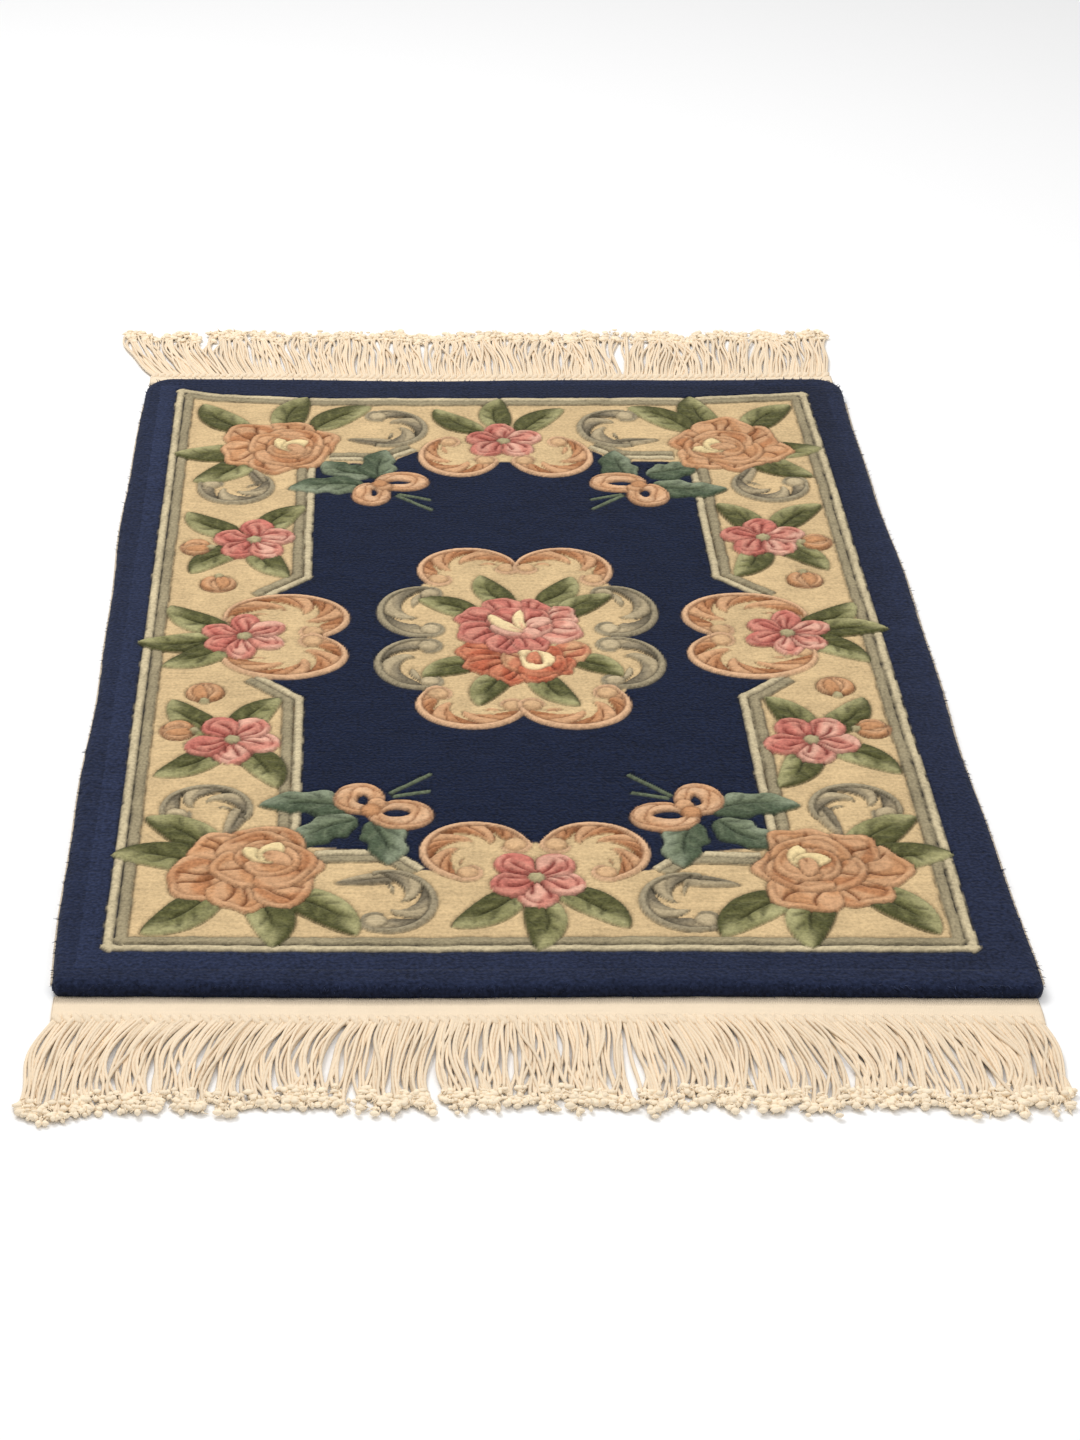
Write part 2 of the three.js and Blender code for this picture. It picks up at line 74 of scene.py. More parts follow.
# The fringe
STRANDS = 430
STRAND_RADIUS = 1.18 * MM
STRAND_START = 21  # mm from the pile
HALF_SPREAD = 297  # mm: the roots reach this far to each side
LUMPS, WISPS = 3, 6  # in each tuft
PARTING = 117  # mm: where the far fringe parts
LOOPS = 100
LOOP_ROW = 23.5 * MM  # from the pile to the middle of the heading loops
PLY_PITCH, RIB_PITCH, KNOT_PITCH = 4.5 * MM, 1.1 * MM, 2.2 * MM
# The woven band's section in mm: distance from the pile's edge, and height
BAND_PROFILE = [
    (0, 0), (0, 2.5), (4, 2.9), (7, 2.6), (9, 3.0), (13, 3.2), (17, 3.1), (21, 2.6), (23.5, 1.6), (24, 0),
]
FIBRES, FIBRE_SEED = 4600, 5  # of loose wool at the rim

# The photograph's camera: its focal length and sideways shift in pixels of the tall side
PHOTO_TALL, PHOTO_FOCAL, PHOTO_SHIFT, PHOTO_TILT = 1440, 2922.8, 172, 30.649


def linear(*colours):
    """Colours as the eye names them, 0 to 255, made linear: ((c + 0.055) / 1.055) ** 2.4."""
    c = np.array(colours) / 255
    return np.where(c <= 0.04045, c / 12.92, ((c + 0.055) / 1.055) ** 2.4)


NAVY_FIELD, NAVY_BORDER = linear((20, 29, 52), (33, 40, 62))
CREAM_GROUND, CREAM_STRIPE, CREAM_PETAL = linear((206, 178, 134), (208, 192, 156), (234, 210, 162))
GREY_STRIPE, GREY_DARK, GREY_BODY = linear((160, 147, 117), (60, 54, 42), (128, 117, 96))
GREY_RIM, GREY_PALE, BALL_CREAM = linear((158, 145, 118), (168, 152, 122), (188, 170, 136))
BALL_PEACH, RIM_PEACH, YELLOW_HEART = linear((208, 170, 128), (216, 174, 136), (232, 208, 156))
PEACH, PEACH_MID = linear((182, 126, 86), (194, 142, 100))
PEACH_PALE, PEACH_DEEP = linear((206, 160, 120), (130, 80, 48))
PINK, PINK_MID = linear((194, 116, 102), (206, 138, 120))
PINK_PALE, PINK_DEEP = linear((224, 174, 152), (138, 62, 54))
CORAL, CORAL_PALE, CORAL_DEEP = linear((184, 100, 72), (202, 130, 98), (130, 60, 40))
LEAF_TONES = linear((74, 74, 42), (116, 114, 72), (172, 166, 120))
SPRUCE_TONES = linear((70, 82, 62), (108, 117, 92), (138, 146, 122))
EYE, COTTON, TUFT = linear((172, 160, 122), (240, 220, 192), (250, 232, 204))

# Corner roses: x, y, turn in degrees, the heart's offset, and each leaf as its angle and reach
ROSES = [
    (-185, 318, 20, (13, -5), [(128, 106), (76, 101), (45, 112), (189, 86), (225, 94)]),
    (192, 320, 160, (-9, -7), [(52, 102), (103, 100), (136, 108), (-4, 78), (-43, 88)]),
    (-188, -320, 75, (16, 12), [(138, 93), (169, 90), (229, 97), (283, 90), (-46, 104)]),
    (190, -322, -60, (-15, 7), [(44, 93), (13, 86), (-50, 93), (256, 90), (224, 107)]),
]
# Open flowers: x, y, the first petal's angle, the number of petals, and the leaves as above
FLOWERS = [
    (5, 327, 90, 5, [(90, 86), (131, 86), (50, 84)]),
    (0, -331, -90, 5, [(-92, 80), (224, 78), (-45, 79)]),
    (-200, -10, 92, 6, [(141, 75), (186, 79), (217, 73)]),
    (202, -5, 85, 6, [(41, 74), (6, 77), (-37, 69)]),
    (-198, 146, 90, 5, [(138, 74), (57, 71), (230, 73), (-65, 68)]),
    (-203, -158, -90, 5, [(129, 72), (61, 66), (222, 70), (-62, 71)]),
    (202, 150, 90, 5, [(117, 68), (47, 79), (246, 70), (-51, 69)]),
    (200, -158, -90, 5, [(113, 65), (53, 74), (244, 68), (-39, 71)]),
]
# Buds: x, y, radius, and the way in which the bud points
BUDS = [
    (-243, 134, 13, 180), (-223, 73, 14, -90), (-242, -145, 13, 180), (-225, -92, 14, 90),
    (243, 143, 13, 0), (226, 80, 14, -90), (245, -143, 13, 0), (227, -83, 14, 90),
]
# Scrolls: kind, x, y, radii, and the angles at which the feathers start and end
SCROLLS = [
    ("grey", -92, 353, 34, 37, -108, 112),
    ("grey", 102, 353, 34, 37, -72, -292),
    ("grey", -216, 242, 32, 33, 34, -190),
    ("grey", 219, 245, 32, 32, 146, 370),
    ("grey", -96, -357, 32, 36, 108, -112),
    ("grey", 97, -358, 33, 34, 72, 292),
    ("grey", -217, -248, 32, 31, -24, 200),
    ("grey", 218, -247, 32, 31, 204, -20),
    ("peach", -33, 299, 34, 39, 110, 340),
    ("peach", 43, 299, 35, 39, 70, -160),
    ("peach", -37, -300, 38, 36, 255, 20),
    ("peach", 39, -300, 37, 36, -75, 160),
    ("peach", -170, 19, 48, 37, 188, -56),
    ("peach", -170, -37, 47, 36, -188, 55),
    ("peach", 174, 21, 48, 37, -8, 235),
    ("peach", 173, -36, 48, 36, 368, 125),
    ("peach", -31, 95, 40, 37, 8, 215),
    ("peach", 41, 95, 39, 37, 172, -35),
    ("lobe", -68, 29, 34, 40, 75, 285),
    ("lobe", -70, -50, 34, 38, 285, 75),
    ("lobe", 76, 29, 33, 40, 105, -105),
    ("lobe", 75, -49, 33, 38, -105, 105),
    ("peach", -35, -108, 40, 35, 352, 145),
    ("peach", 38, -107, 41, 36, -172, 35),
]
# Cream ovals of the medallions' ground, as x, y and radii: they reach under the scrolls' rims
CREAM_OVALS = [
    (3, -6, 68, 104), (5, 318, 46, 30), (0, -314, 46, 25), (-178, -11, 32, 38), (180, -9, 32, 38),
    (-54, 64, 15, 15), (62, 64, 15, 15), (-54, -84, 15, 15), (62, -84, 15, 15),
] + [(x, y, rx - 4, ry - 4) for kind, x, y, rx, ry, _, _ in SCROLLS if kind != "grey"]
# Bows in the field's corners: loops as x, y and radii, leaves as x, y, angle and length, stems' ends
BOWS = [
    (
        [(-82, 249, 22, 17), (-105, 228, 16, 20)],
        [(-106, 262, 148, 48), (-98, 256, 85, 54), (-110, 240, 183, 64)],
        [(-86, 226, -57, 199), (-84, 228, -58, 217)],
    ),
    (
        [(96, 249, 24, 17), (117, 228, 17, 20)],
        [(120, 264, 30, 48), (106, 256, 100, 54), (122, 246, -8, 62)],
        [(99, 228, 71, 202), (97, 229, 71, 219)],
    ),
    (
        [(-88, -254, 22, 18), (-113, -236, 17, 19)],
        [(-116, -260, 221, 52), (-106, -262, -80, 54), (-118, -247, 177, 64)],
        [(-94, -228, -66, -203), (-92, -232, -67, -225)],
    ),
    (
        [(91, -256, 23, 18), (113, -236, 17, 19)],
        [(124, -260, -38, 52), (110, -264, 256, 56), (120, -250, 6, 62)],
        [(96, -230, 69, -203), (94, -233, 69, -226)],
    ),
]
# The coral rose's outer petals: the middle and span of each in degrees, and its reach
CORAL_PETALS = [(168, 58, 50), (200, 50, 47), (12, 52, 46), (330, 60, 37), (240, 62, 41), (288, 66, 37)]
# The middle bunch's leaves: x, y, angle and length
BUNCH_LEAVES = [
    (0, 40, 116, 48), (20, 40, 58, 48), (-28, 22, 148, 46), (36, 20, 40, 48),
    (-25, -48, 205, 45), (40, -42, -36, 40), (-6, -62, 244, 50), (14, -62, -60, 52),
]
# Guard stripes: the outer one's corners, and the inner ones' runs. Then the cream border and the navy field.
OUTER_STRIPE = [(-274, -412), (272, -412), (272, 428), (160, 415), (-150, 415), (-235, 422), (-274, 434)]
INNER_STRIPES = [
    [(-152, 280), (-152, 83), (-187, 48)],
    [(-187, -66), (-154, -99), (-154, -285)],
    [(191, 49), (156, 84), (156, 280)],
    [(156, -285), (156, -96), (189, -65)],
    [(-68, 310), (-92, 290), (-140, 290)],
    [(145, 293), (98, 295), (75, 315)],
    [(-143, -298), (-92, -296), (-72, -318)],
    [(76, -318), (95, -299), (148, -300)],
]
BORDER = [(-264, -402), (262, -402), (262, 419), (160, 405), (-150, 405), (-235, 411), (-264, 424)]
FIELD = [
    (-156, -294), (-90, -300), (-74, -322), (74, -322), (94, -302), (160, -294), (160, -98), (190, -68),
    (190, 54), (160, 84), (160, 288), (97, 290), (76, 312), (-68, 308), (-93, 285), (-156, 285),
    (-156, 82), (-188, 50), (-188, -68), (-158, -100),
]


def waver(x, seed):
    """A smooth uneven value from -1 to 1: three sines whose pitch and phase depend on the seed."""
    waves = ((0.5, 1.0, 1.7), (0.3, 2.3, 4.1), (0.2, 4.9, 2.9))
    return sum(share * np.sin(x * pitch + seed * phase) for share, pitch, phase in waves)


def blend(a, b, share):
    """a where share is 0 and b where it is 1."""
    share = np.clip(share, 0, 1)[..., None]
    return a * (1 - share) + b * share


def smooth(x):
    """0 below 0, 1 above 1, and 3x^2 - 2x^3 between."""
    x = np.clip(x, 0, 1)
    return x * x * (3 - 2 * x)


def line_at(offset, width):
    """A soft line: exp(-(offset / width)^2)."""
    return np.exp(-((offset / width) ** 2))


def soft_least(a, b, k):
    """The lesser of a and b, rounded where they are within k of each other."""
    h = np.clip(0.5 + 0.5 * (b - a) / k, 0, 1)
    return b * (1 - h) + a * h - k * h * (1 - h)


def unit(vectors):
    return vectors / np.linalg.norm(vectors, axis=-1, keepdims=True)


class Heap:
    """Closed tubes and sheets of one family, gathered as arrays and made into one mesh."""

    def __init__(self):
        self.points, self.tints, self.marks, self.faces, self.count = [], [], [], {}, 0

    def keep(self, points, tint, mark=(0, 0, 0)):
        """Appends points (n, 3), their tints and their marks, and returns the points' indices."""
        self.points.append(points)
        self.tints.append(np.broadcast_to(tint, points.shape))
        self.marks.append(np.broadcast_to(mark, points.shape))
        self.count += len(points)
        return np.arange(self.count - len(points), self.count)

    def add_faces(self, faces):
        self.faces.setdefault(faces.shape[1], []).append(faces)

    def wall(self, upper, lower):
        """Quads down from one closed ring of indices to the next, both anticlockwise from above."""
        self.add_faces(np.stack([upper, lower, np.roll(lower, -1), np.roll(upper, -1)], -1))

    def tubes(self, grids, tint, mark=(0, 0, 0)):
        """grids (k, n, m, 3): k tubes of n sections with m points, closed round each section and capped
        flat at each end."""
        spread = [np.broadcast_to(v, grids.shape).reshape(-1, 3) for v in (tint, mark)]
        index = self.keep(grids.reshape(-1, 3), *spread).reshape(grids.shape[:3])
        after = np.roll(index, -1, axis=2)
        quads = np.stack([index[:, :-1], index[:, 1:], after[:, 1:], after[:, :-1]], -1)
        for faces in (quads.reshape(-1, 4), index[:, 0], index[:, -1, ::-1]):
            self.add_faces(faces)

    def make(self, name, material, body_slot, sharp=None):
        """The gathered arrays as one object that rides on the rug, with its attributes tint and mark.
        Edges between two points listed in sharp part the smooth shading."""
        groups = [np.concatenate(faces) for faces in self.faces.values()]
        loops = np.concatenate([group.ravel() for group in groups]).astype(np.int32)
        sizes = np.concatenate([np.full(len(group), group.shape[1]) for group in groups])
        mesh = bpy.data.meshes.new(name)
        mesh.vertices.add(self.count)
        mesh.vertices.foreach_set("co", np.concatenate(self.points).astype(np.float32).ravel())
        mesh.loops.add(len(loops))
        mesh.loops.foreach_set("vertex_index", loops)
        mesh.polygons.add(len(sizes))
        mesh.polygons.foreach_set("loop_start", (np.cumsum(sizes) - sizes).astype(np.int32))
        mesh.update(calc_edges=True)
        mesh.validate()
        for label, values in (("tint", self.tints), ("mark", self.marks)):
            colours = np.pad(np.concatenate(values), ((0, 0), (0, 1)), constant_values=1).astype(np.float32)
            mesh.attributes.new(label, "FLOAT_COLOR", "POINT").data.foreach_set("color", colours.ravel())
        mesh.shade_smooth()
        if sharp is not None:
            ends = np.empty(2 * len(mesh.edges), dtype=np.int32)
            mesh.edges.foreach_get("vertices", ends)
            flags = mesh.attributes.new("sharp_edge", "BOOLEAN", "EDGE")
            flags.data.foreach_set("value", np.isin(ends.reshape(-1, 2), sharp).all(axis=1))
        mesh.materials.append(material)
        piece = bpy.data.objects.new(name, mesh)
        bpy.context.scene.collection.objects.link(piece)
        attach(piece, "root")
        return piece


def step(angle, length):
    """A step of a length at an angle in degrees, as x and y."""
    return length * cos(radians(angle)), length * sin(radians(angle))


def blade(x, y, angle, start, end, bow, count):
    """A petal's or leaf's t from 0 to 1, and its spine: from start to end along an angle from x, y, bowed
    to the left by bow * sin(pi t)."""
    t = np.linspace(0, 1, count)
    along = np.stack([start + (end - start) * t, bow * np.sin(pi * t)], axis=1)
    c, s = step(angle, 1)
    return t, along @ np.array([[c, s], [-s, c]]) + (x, y)


def side_of(spine, ring=False):
    """The unit vector to the left of a path at each point, lengthened at a bend so that edges mitre."""
    if ring:
        before, after = spine - np.roll(spine, 1, axis=0), np.roll(spine, -1, axis=0) - spine
    else:
        steps = np.diff(spine, axis=0)
        before, after = np.vstack([steps[:1], steps]), np.vstack([steps, steps[-1:]])
    before = unit(before)
    along = unit(before + unit(after))
    mitre = 1 / np.maximum(0.6, (along * before).sum(axis=1))
    return np.stack([-along[:, 1], along[:, 0]], axis=1) * mitre[:, None]


def beside(px, py, spine, half, ring):
    """Where the points of a grid lie beside a path: w, the distance inside the strip's edge (negative
    outside), and t from 0 to 1 along it, s = a / half and a, the distance to its left, all in mm."""
    n, reach, chunk = len(spine), half.max() + ROOM, 48
    around_ring = (np.roll(spine, -1, axis=0) - np.roll(spine, 1, axis=0)) / 2
    ahead = around_ring if ring else np.gradient(spine, axis=0)
    spacing = np.linalg.norm(ahead, axis=1)
    along = ahead / spacing[:, None]
    nearest = np.full((len(px), len(py)), 1e9)
    chosen = np.zeros(nearest.shape, dtype=int)
    for first in range(0, n, chunk):
        pick = np.arange(first, min(first + chunk + 1, n + ring)) % n
        at = window(px, py, (*(spine[pick].min(axis=0) - reach), *(spine[pick].max(axis=0) + reach)))
        far = (px[at[0], None, None] - spine[pick, 0]) ** 2 + (py[None, at[1], None] - spine[pick, 1]) ** 2
        if far.size == 0:
            continue
        k, least = far.argmin(axis=2), far.min(axis=2)
        better = least < nearest[at]
        nearest[at] = np.where(better, least, nearest[at])
        chosen[at] = np.where(better, pick[k], chosen[at])
    dx, dy = px[:, None] - spine[chosen, 0], py[None, :] - spine[chosen, 1]
    forward = dx * along[chosen, 0] + dy * along[chosen, 1]
    a = dy * along[chosen, 0] - dx * along[chosen, 1]
    at = chosen + np.clip(forward / spacing[chosen], -0.5, 0.5)
    period, index = n if ring else None, np.arange(n)
    width = np.interp(at, index, half, period=period)
    slope = np.interp(at, index, np.gradient(half) / spacing, period=period)
    over = np.maximum(np.abs(forward) - 0.6 * spacing[chosen], 0)
    w = (width - np.hypot(a, over)) / np.sqrt(1 + slope**2)
    if not ring:
        at = np.clip(at, 0, n - 1)
        w = np.minimum(w, np.minimum(at, n - 1 - at) * spacing.mean() + 0.6)
        past = np.where(chosen == 0, -forward, np.where(chosen == n - 1, forward, 0))
        w = np.where(past > 0, -np.hypot(past, np.maximum(np.abs(a) - width, 0)), w)
    w = np.where(nearest > 1e8, -99.0, w)
    return w, (at / (n if ring else n - 1), np.clip(a / width, -1.3, 1.3), a)


def window(px, py, box):
    """The slices of a grid's lines that lie in a box: least x and y, then greatest."""
    i, j = np.searchsorted(px, box[::2]), np.searchsorted(py, box[1::2])
    return slice(*i), slice(*j)


# Every motif of the pattern, in the order in which it is carved
motifs = []


def carve(box, shape, rise, paint, rounding=EDGE_ROUND, dip=EDGE_DIP):
    """Adds a motif. Over a grid, shape gives w, the distance inside its edge, and the motif's own
    coordinates, on which paint gives its tint and the depth of the grooves cut in it."""
    motifs.append((box, shape, rise, paint, rounding, dip))


def around(x, y, rx, ry):
    """A motif's box about its middle."""
    return x - rx - ROOM, y - ry - ROOM, x + rx + ROOM, y + ry + ROOM


def strip(spine, half, rise, paint, ring=False, rounding=EDGE_ROUND, dip=EDGE_DIP):
    """A motif along a path in mm. Its paint is a function of t, s and a, or a plain tint."""
    half = np.broadcast_to(half, len(spine)).astype(float)
    (x0, y0), (x1, y1) = spine.min(axis=0), spine.max(axis=0)
    box = around((x0 + x1) / 2, (y0 + y1) / 2, (x1 - x0) / 2 + half.max(), (y1 - y0) / 2 + half.max())

    def shape(px, py):
        return beside(px, py, spine, half, ring)

    def plain(t, s, a):
        return np.broadcast_to(paint, (*t.shape, 3)), 0

    carve(box, shape, rise, paint if callable(paint) else plain, rounding, dip)


def dome(x, y, r, rise, tint, shadow, dip=0.7):
    """A round knob: w = r - distance, rounded over most of its radius, darker towards its foot."""

    def shape(px, py):
        far = np.hypot(px[:, None] - x, py[None, :] - y)
        return r - far, (far / r,)

    def paint(far):
        return blend(tint, shadow, 0.5 * smooth((far - 0.6) / 0.4)), 0

    carve(around(x, y, r, r), shape, rise, paint, 0.75 * r, dip)


def arc(x, y, rx, ry, start, end, count):
    """Points on an oval from one angle to another, in degrees."""
    a = np.radians(np.linspace(start, end, count))
    return np.stack([x + rx * np.cos(a), y + ry * np.sin(a)], axis=1)


def leaf(x, y, angle, length, width, shades, seed, rise=1.0, lobes=0.0):
    """A pointed leaf from its base. Its half-width is width/2 * 2.28 t^0.5 (1 - t)^0.72, and its spine
    bends a little to one side. One half is dark, the other lighter with pale patches near its edge.
    A wavy midrib is cut in it, and slanting veins where length * t - |a| comes round every 16 mm. The
    midrib's groove, and the veins' grooves on the lighter half, are darkened as painted shade."""
    dark, mid, pale = shades
    t, spine = blade(x, y, angle, 0, length, 0.09 * length * copysign(1, sin(seed * 5.3)), 30)
    notch = 1 + lobes * np.cos(2 * pi * (2.5 * t + 0.2)) * np.sin(pi * t)
    half = width / 2 * 2.28 * t**0.5 * (1 - t) ** 0.72 * notch + 0.3
    dark_side = copysign(1, sin(seed * 2.1))

    def paint(t, s, a):
        out = np.abs(s)
        way = length * t - np.abs(a) + 2.5 * np.sin(0.16 * length * t + 3 * seed + (a > 0))
        veins = np.cos(pi * way / 16 + seed) ** 6 * smooth((out - 0.08) / 0.15) * smooth((0.86 - out) / 0.3)
        veins = veins * smooth((0.86 - t) / 0.2) * smooth(t / 0.15)
        rib = line_at(a - 1.6 * np.sin(4 * t + seed), 1.3) * smooth((0.8 - t) / 0.25) * smooth(t / 0.12)
        light = smooth(0.5 + 1.5 * dark_side * s)
        tone = blend(dark, mid, 0.1 + 0.9 * light)
        patch = light * smooth((out - 0.1) / 0.6) * (0.65 + 0.35 * np.sin(7 * t + seed))
        patch = np.maximum(patch, 0.8 * smooth((t - 0.62) / 0.3) * smooth(0.8 + dark_side * s))
        tone = blend(tone, pale, 0.9 * patch)
        tone = blend(tone, mid, 0.6 * (1 - light) * veins)
        # Painted shade: the midrib's groove and, on the lighter half, the veins' grooves are darkened.
        tone = blend(tone, dark * 0.5, np.maximum(0.95 * rib, 0.6 * light * veins))
        return tone, 1.7 * rib + 0.8 * veins

    strip(spine, half, rise, paint)


def leaves_round(x, y, leaves, length, width):
    """The leaves round a flower, each from a base that lies short of its reach by its length."""
    for k, (angle, reach) in enumerate(leaves):
        bx, by = step(angle, reach - length)
        leaf(x + bx, y + by, angle, length, width, LEAF_TONES, k * 1.3 + x * 0.07)


def petal(x, y, middle, span, reach, rise, shades, seed, lip, nib, creases, painted_edge_shade):
    """A petal about a flower's centre, over a span of degrees. With v from -1 to 1 across the span, its
    outline stands at reach * (1 - 0.2 |v|^2.6 + nib at the lean), and depth is the distance inward from
    it. A fold is cut along the lip and creases run in from it, and broad folds lighten it in turn. Painted
    shade darkens the cut fold and creases, and, by the last argument, the petal towards its outline."""
    body, rim, deep = shades
    wide, lean = radians(span) / 2, 0.4 * sin(seed * 2.7)
    rays = [(k + 1) / (creases + 1) * 1.7 - 0.85 + 0.16 * sin(seed * 3.9 + 2 * k) for k in range(creases)]

    def shape(px, py):
        dx, dy = px[:, None] - x, py[None, :] - y
        r = np.hypot(dx, dy)
        v = (np.mod(np.arctan2(dy, dx) - radians(middle) + pi, 2 * pi) - pi) / wide
        near = np.clip(v, -1.3, 1.3)
        swell = 1 - 0.2 * np.abs(near) ** 2.6 + nib * line_at(near - lean, 0.3)
        swell = swell + 0.02 * np.sin(8 * near + seed)
        depth = reach * swell - r
        side = (1 - np.abs(v)) * wide * np.maximum(r, 1.0)
        return soft_least(depth, side, 5.0), (near, depth, r)

    def paint(v, depth, r):
        cut = 0.45 * line_at(depth - lip - 0.9 * np.sin(5 * v + seed), 1.3)
        cut = cut * smooth((0.8 - np.abs(v - 0.5 * lean)) / 0.35)
        for at in rays:
            off = (v - at - 0.1 * np.sin(depth / 6 + seed)) * wide * r
            cut = np.maximum(cut, line_at(off, 1.4) * smooth((depth - 0.6 * lip) / 3))
        folds = smooth(0.5 + 0.8 * np.sin(4.6 * v + seed * 1.7 + depth / 5))
        tone = blend(body, rim, 0.85 * folds + 0.4 * smooth((lip - depth) / 2.5))
        hollow = 0.6 * smooth((depth - 0.3 * reach) / (0.3 * reach)) * (1.1 - folds)
        # Painted shade: by the last argument the petal darkens towards its outline.
        tone = blend(tone, deep, hollow + painted_edge_shade * smooth(1 - depth / 2.4))
        # Painted shade: the cut fold and creases are darkened.
        return blend(tone, deep * 0.75, cut), 1.7 * cut

    size = reach * (1.03 + nib)
    carve(around(x, y, size, size), shape, rise, paint, 3.0)


def spike(x, y, angle, length, width, pale, deep, rise=2.2):
    """A small pointed petal at a rose's heart, pale, with a deep line from its base. The line is painted
    shade in the groove cut there, and the edges are a little darker as painted shade.
    """
    t, spine = blade(x, y, angle, 0, length, 0.1 * length, 18)

    def paint(t, s, a):
        core = line_at(a, 1.0) * smooth((0.45 - t) / 0.3)
        # Painted shade: the edges and the cut line are darkened.
        return blend(blend(pale, deep, 0.25 * smooth((np.abs(s) - 0.6) * 2.5)), deep, 0.7 * core), 0.8 * core

    strip(spine, width / 2 * 2.1 * t**0.5 * (1 - t) ** 0.65 + 0.3, rise, paint)


def rose(x, y, turned, dx, dy):
    """A full rose: layers of overlapping petals that stand higher towards the heart, each layer turned on
    from the last and moved towards the heart, and three pointed petals in it."""
    tones = (PEACH, PEACH_PALE, PEACH_DEEP), (PEACH_MID, PEACH_PALE, PEACH_DEEP)
    layers = [
        dict(count=6, span=80, reach=48, rise=1.2, move=0.0, folds=(6.5, 0.11, 2)),
        dict(count=3, span=150, reach=33, rise=1.6, move=0.55, folds=(6.0, 0.08, 1)),
        dict(count=2, span=215, reach=22, rise=1.9, move=0.9, folds=(5.0, 0.0, 0)),
    ]
    for level, ring in enumerate(layers):
        cx, cy = x + dx * ring["move"], y + dy * ring["move"]
        for k in range(ring["count"]):
            seed = k * 1.7 + 2.3 * level + 0.1 * x
            middle = turned + 31 * level + 360 * k / ring["count"] + 9 * sin(seed * 3.1)
            span = ring["span"] * (1 + 0.1 * sin(seed * 2.3))
            reach = ring["reach"] * (1 + 0.06 * sin(seed * 1.9 + level))
            rise = ring["rise"] + 0.15 * (k % 2)
            petal(cx, cy, middle, span, reach, rise, tones[k % 2], seed, *ring["folds"], 0.35)
    for angle, length, width, tone in (
        (118, 27, 15, YELLOW_HEART),
        (35, 24, 17, YELLOW_HEART),
        (-65, 22, 13, PEACH_PALE),
    ):
        angle += 0.4 * turned
        bx, by = step(angle, -6)
        spike(x + dx + bx, y + dy + by, angle, length, width, tone, PEACH_DEEP)


def round_petal(x, y, angle, reach, width, shades, seed):
    """A round petal from a flower's eye. Its half-width grows to width / 2 and closes as a half oval over
    its outer half. Two curved folds are cut from its foot, and one along its lip on one side. Painted
    shade darkens the cut folds and the petal's edges."""
    body, rim, deep = shades
    t, spine = blade(x, y, angle, 4, reach, 1.5 * sin(seed * 2.3), 26)
    closed = np.sqrt(np.clip(1 - (np.clip(t - 0.5, 0, 1) / 0.5) ** 2, 0, 1))
    half = width / 2 * (0.4 + 0.6 * smooth(t / 0.5)) * closed + 0.2
    side = copysign(1, sin(seed * 4.7))

    def paint(t, s, a):
        first = line_at(s - 0.3 * side - 0.3 * np.sin(2.6 * t + seed), 0.14) * smooth((0.76 - t) / 0.2)
        second = line_at(s + 0.42 * side - 0.15 * np.sin(4 * t + seed), 0.14) * smooth((0.62 - t) / 0.2)
        out = np.hypot(np.clip(t - 0.5, 0, 1) / 0.5, s)
        lip = line_at(out - 0.64, 0.09) * smooth((t - 0.35) / 0.2) * smooth(0.9 - 1.8 * side * s)
        folds = np.maximum(np.maximum(first, second) * smooth(t / 0.1), 0.8 * lip)
        tone = blend(body, rim, 0.9 * smooth(0.5 + 0.9 * np.sin(3.4 * side * s + 4 * t + seed)))
        # Painted shade: the petal darkens at its edges, where |s| passes 0.74.
        tone = blend(tone, deep, 0.6 * smooth((0.3 - t) / 0.3) + 0.45 * smooth((np.abs(s) - 0.74) / 0.26))
        # Painted shade: the cut folds are darkened.
        return blend(tone, deep * 0.8, folds), 1.6 * folds

    strip(spine, half, 1.5, paint, rounding=3.0)


def open_flower(x, y, turned, count):
    """Five or six round petals about a small eye, paler to the right."""
    for k in range(count):
        seed = k * 2.1 + x * 0.13
        angle = turned + 360 * k / count + 4 * sin(seed)
        pale = smooth(0.45 + 0.8 * cos(radians(angle + 20)) + 0.2 * sin(3 * seed))
        body, rim = PINK * (1 - pale) + PINK_MID * pale, PINK_MID * (1 - pale) + PINK_PALE * pale
        reach, width = 33.5 + 1.5 * sin(k * 3.7 + y), 145 / count - 1.5
        round_petal(x, y, angle, reach, width, (body, rim, PINK_DEEP), seed)
    dome(x, y, 5.6, 1.9, EYE, EYE * 0.6)


def bud(x, y, r, angle):
    """A round bud: a disc, a crescent down each side of it, a pointed middle, and a calyx at its foot."""
    dome(x, y, r, 1.2, PEACH_PALE, PEACH_DEEP)
    t = np.linspace(0, 1, 24)

    def paint(t, s, a):
        body = blend(PEACH_MID, PEACH_PALE, smooth(0.5 + s))
        # Painted shade: each crescent darkens towards its edges.
        return blend(body, PEACH_DEEP, 0.6 * smooth((np.abs(s) - 0.5) * 2)), 0

    for side in (1, -1):
        crescent = arc(x, y, r - 4.2, r - 4.2, angle + 170 * side, angle + 12 * side, 24)
        strip(crescent, 0.8 + 3.2 * np.sin(pi * t**0.8) ** 0.7, 1.5, paint)
    fx, fy = step(angle, -0.8 * r)
    spike(x + fx, y + fy, angle + 9, 1.45 * r, 0.75 * r, PEACH_MID, PEACH_DEEP, 1.7)
    dome(x + 1.15 * fx, y + 1.15 * fy, 0.27 * r, 1.6, EYE, EYE * 0.6)


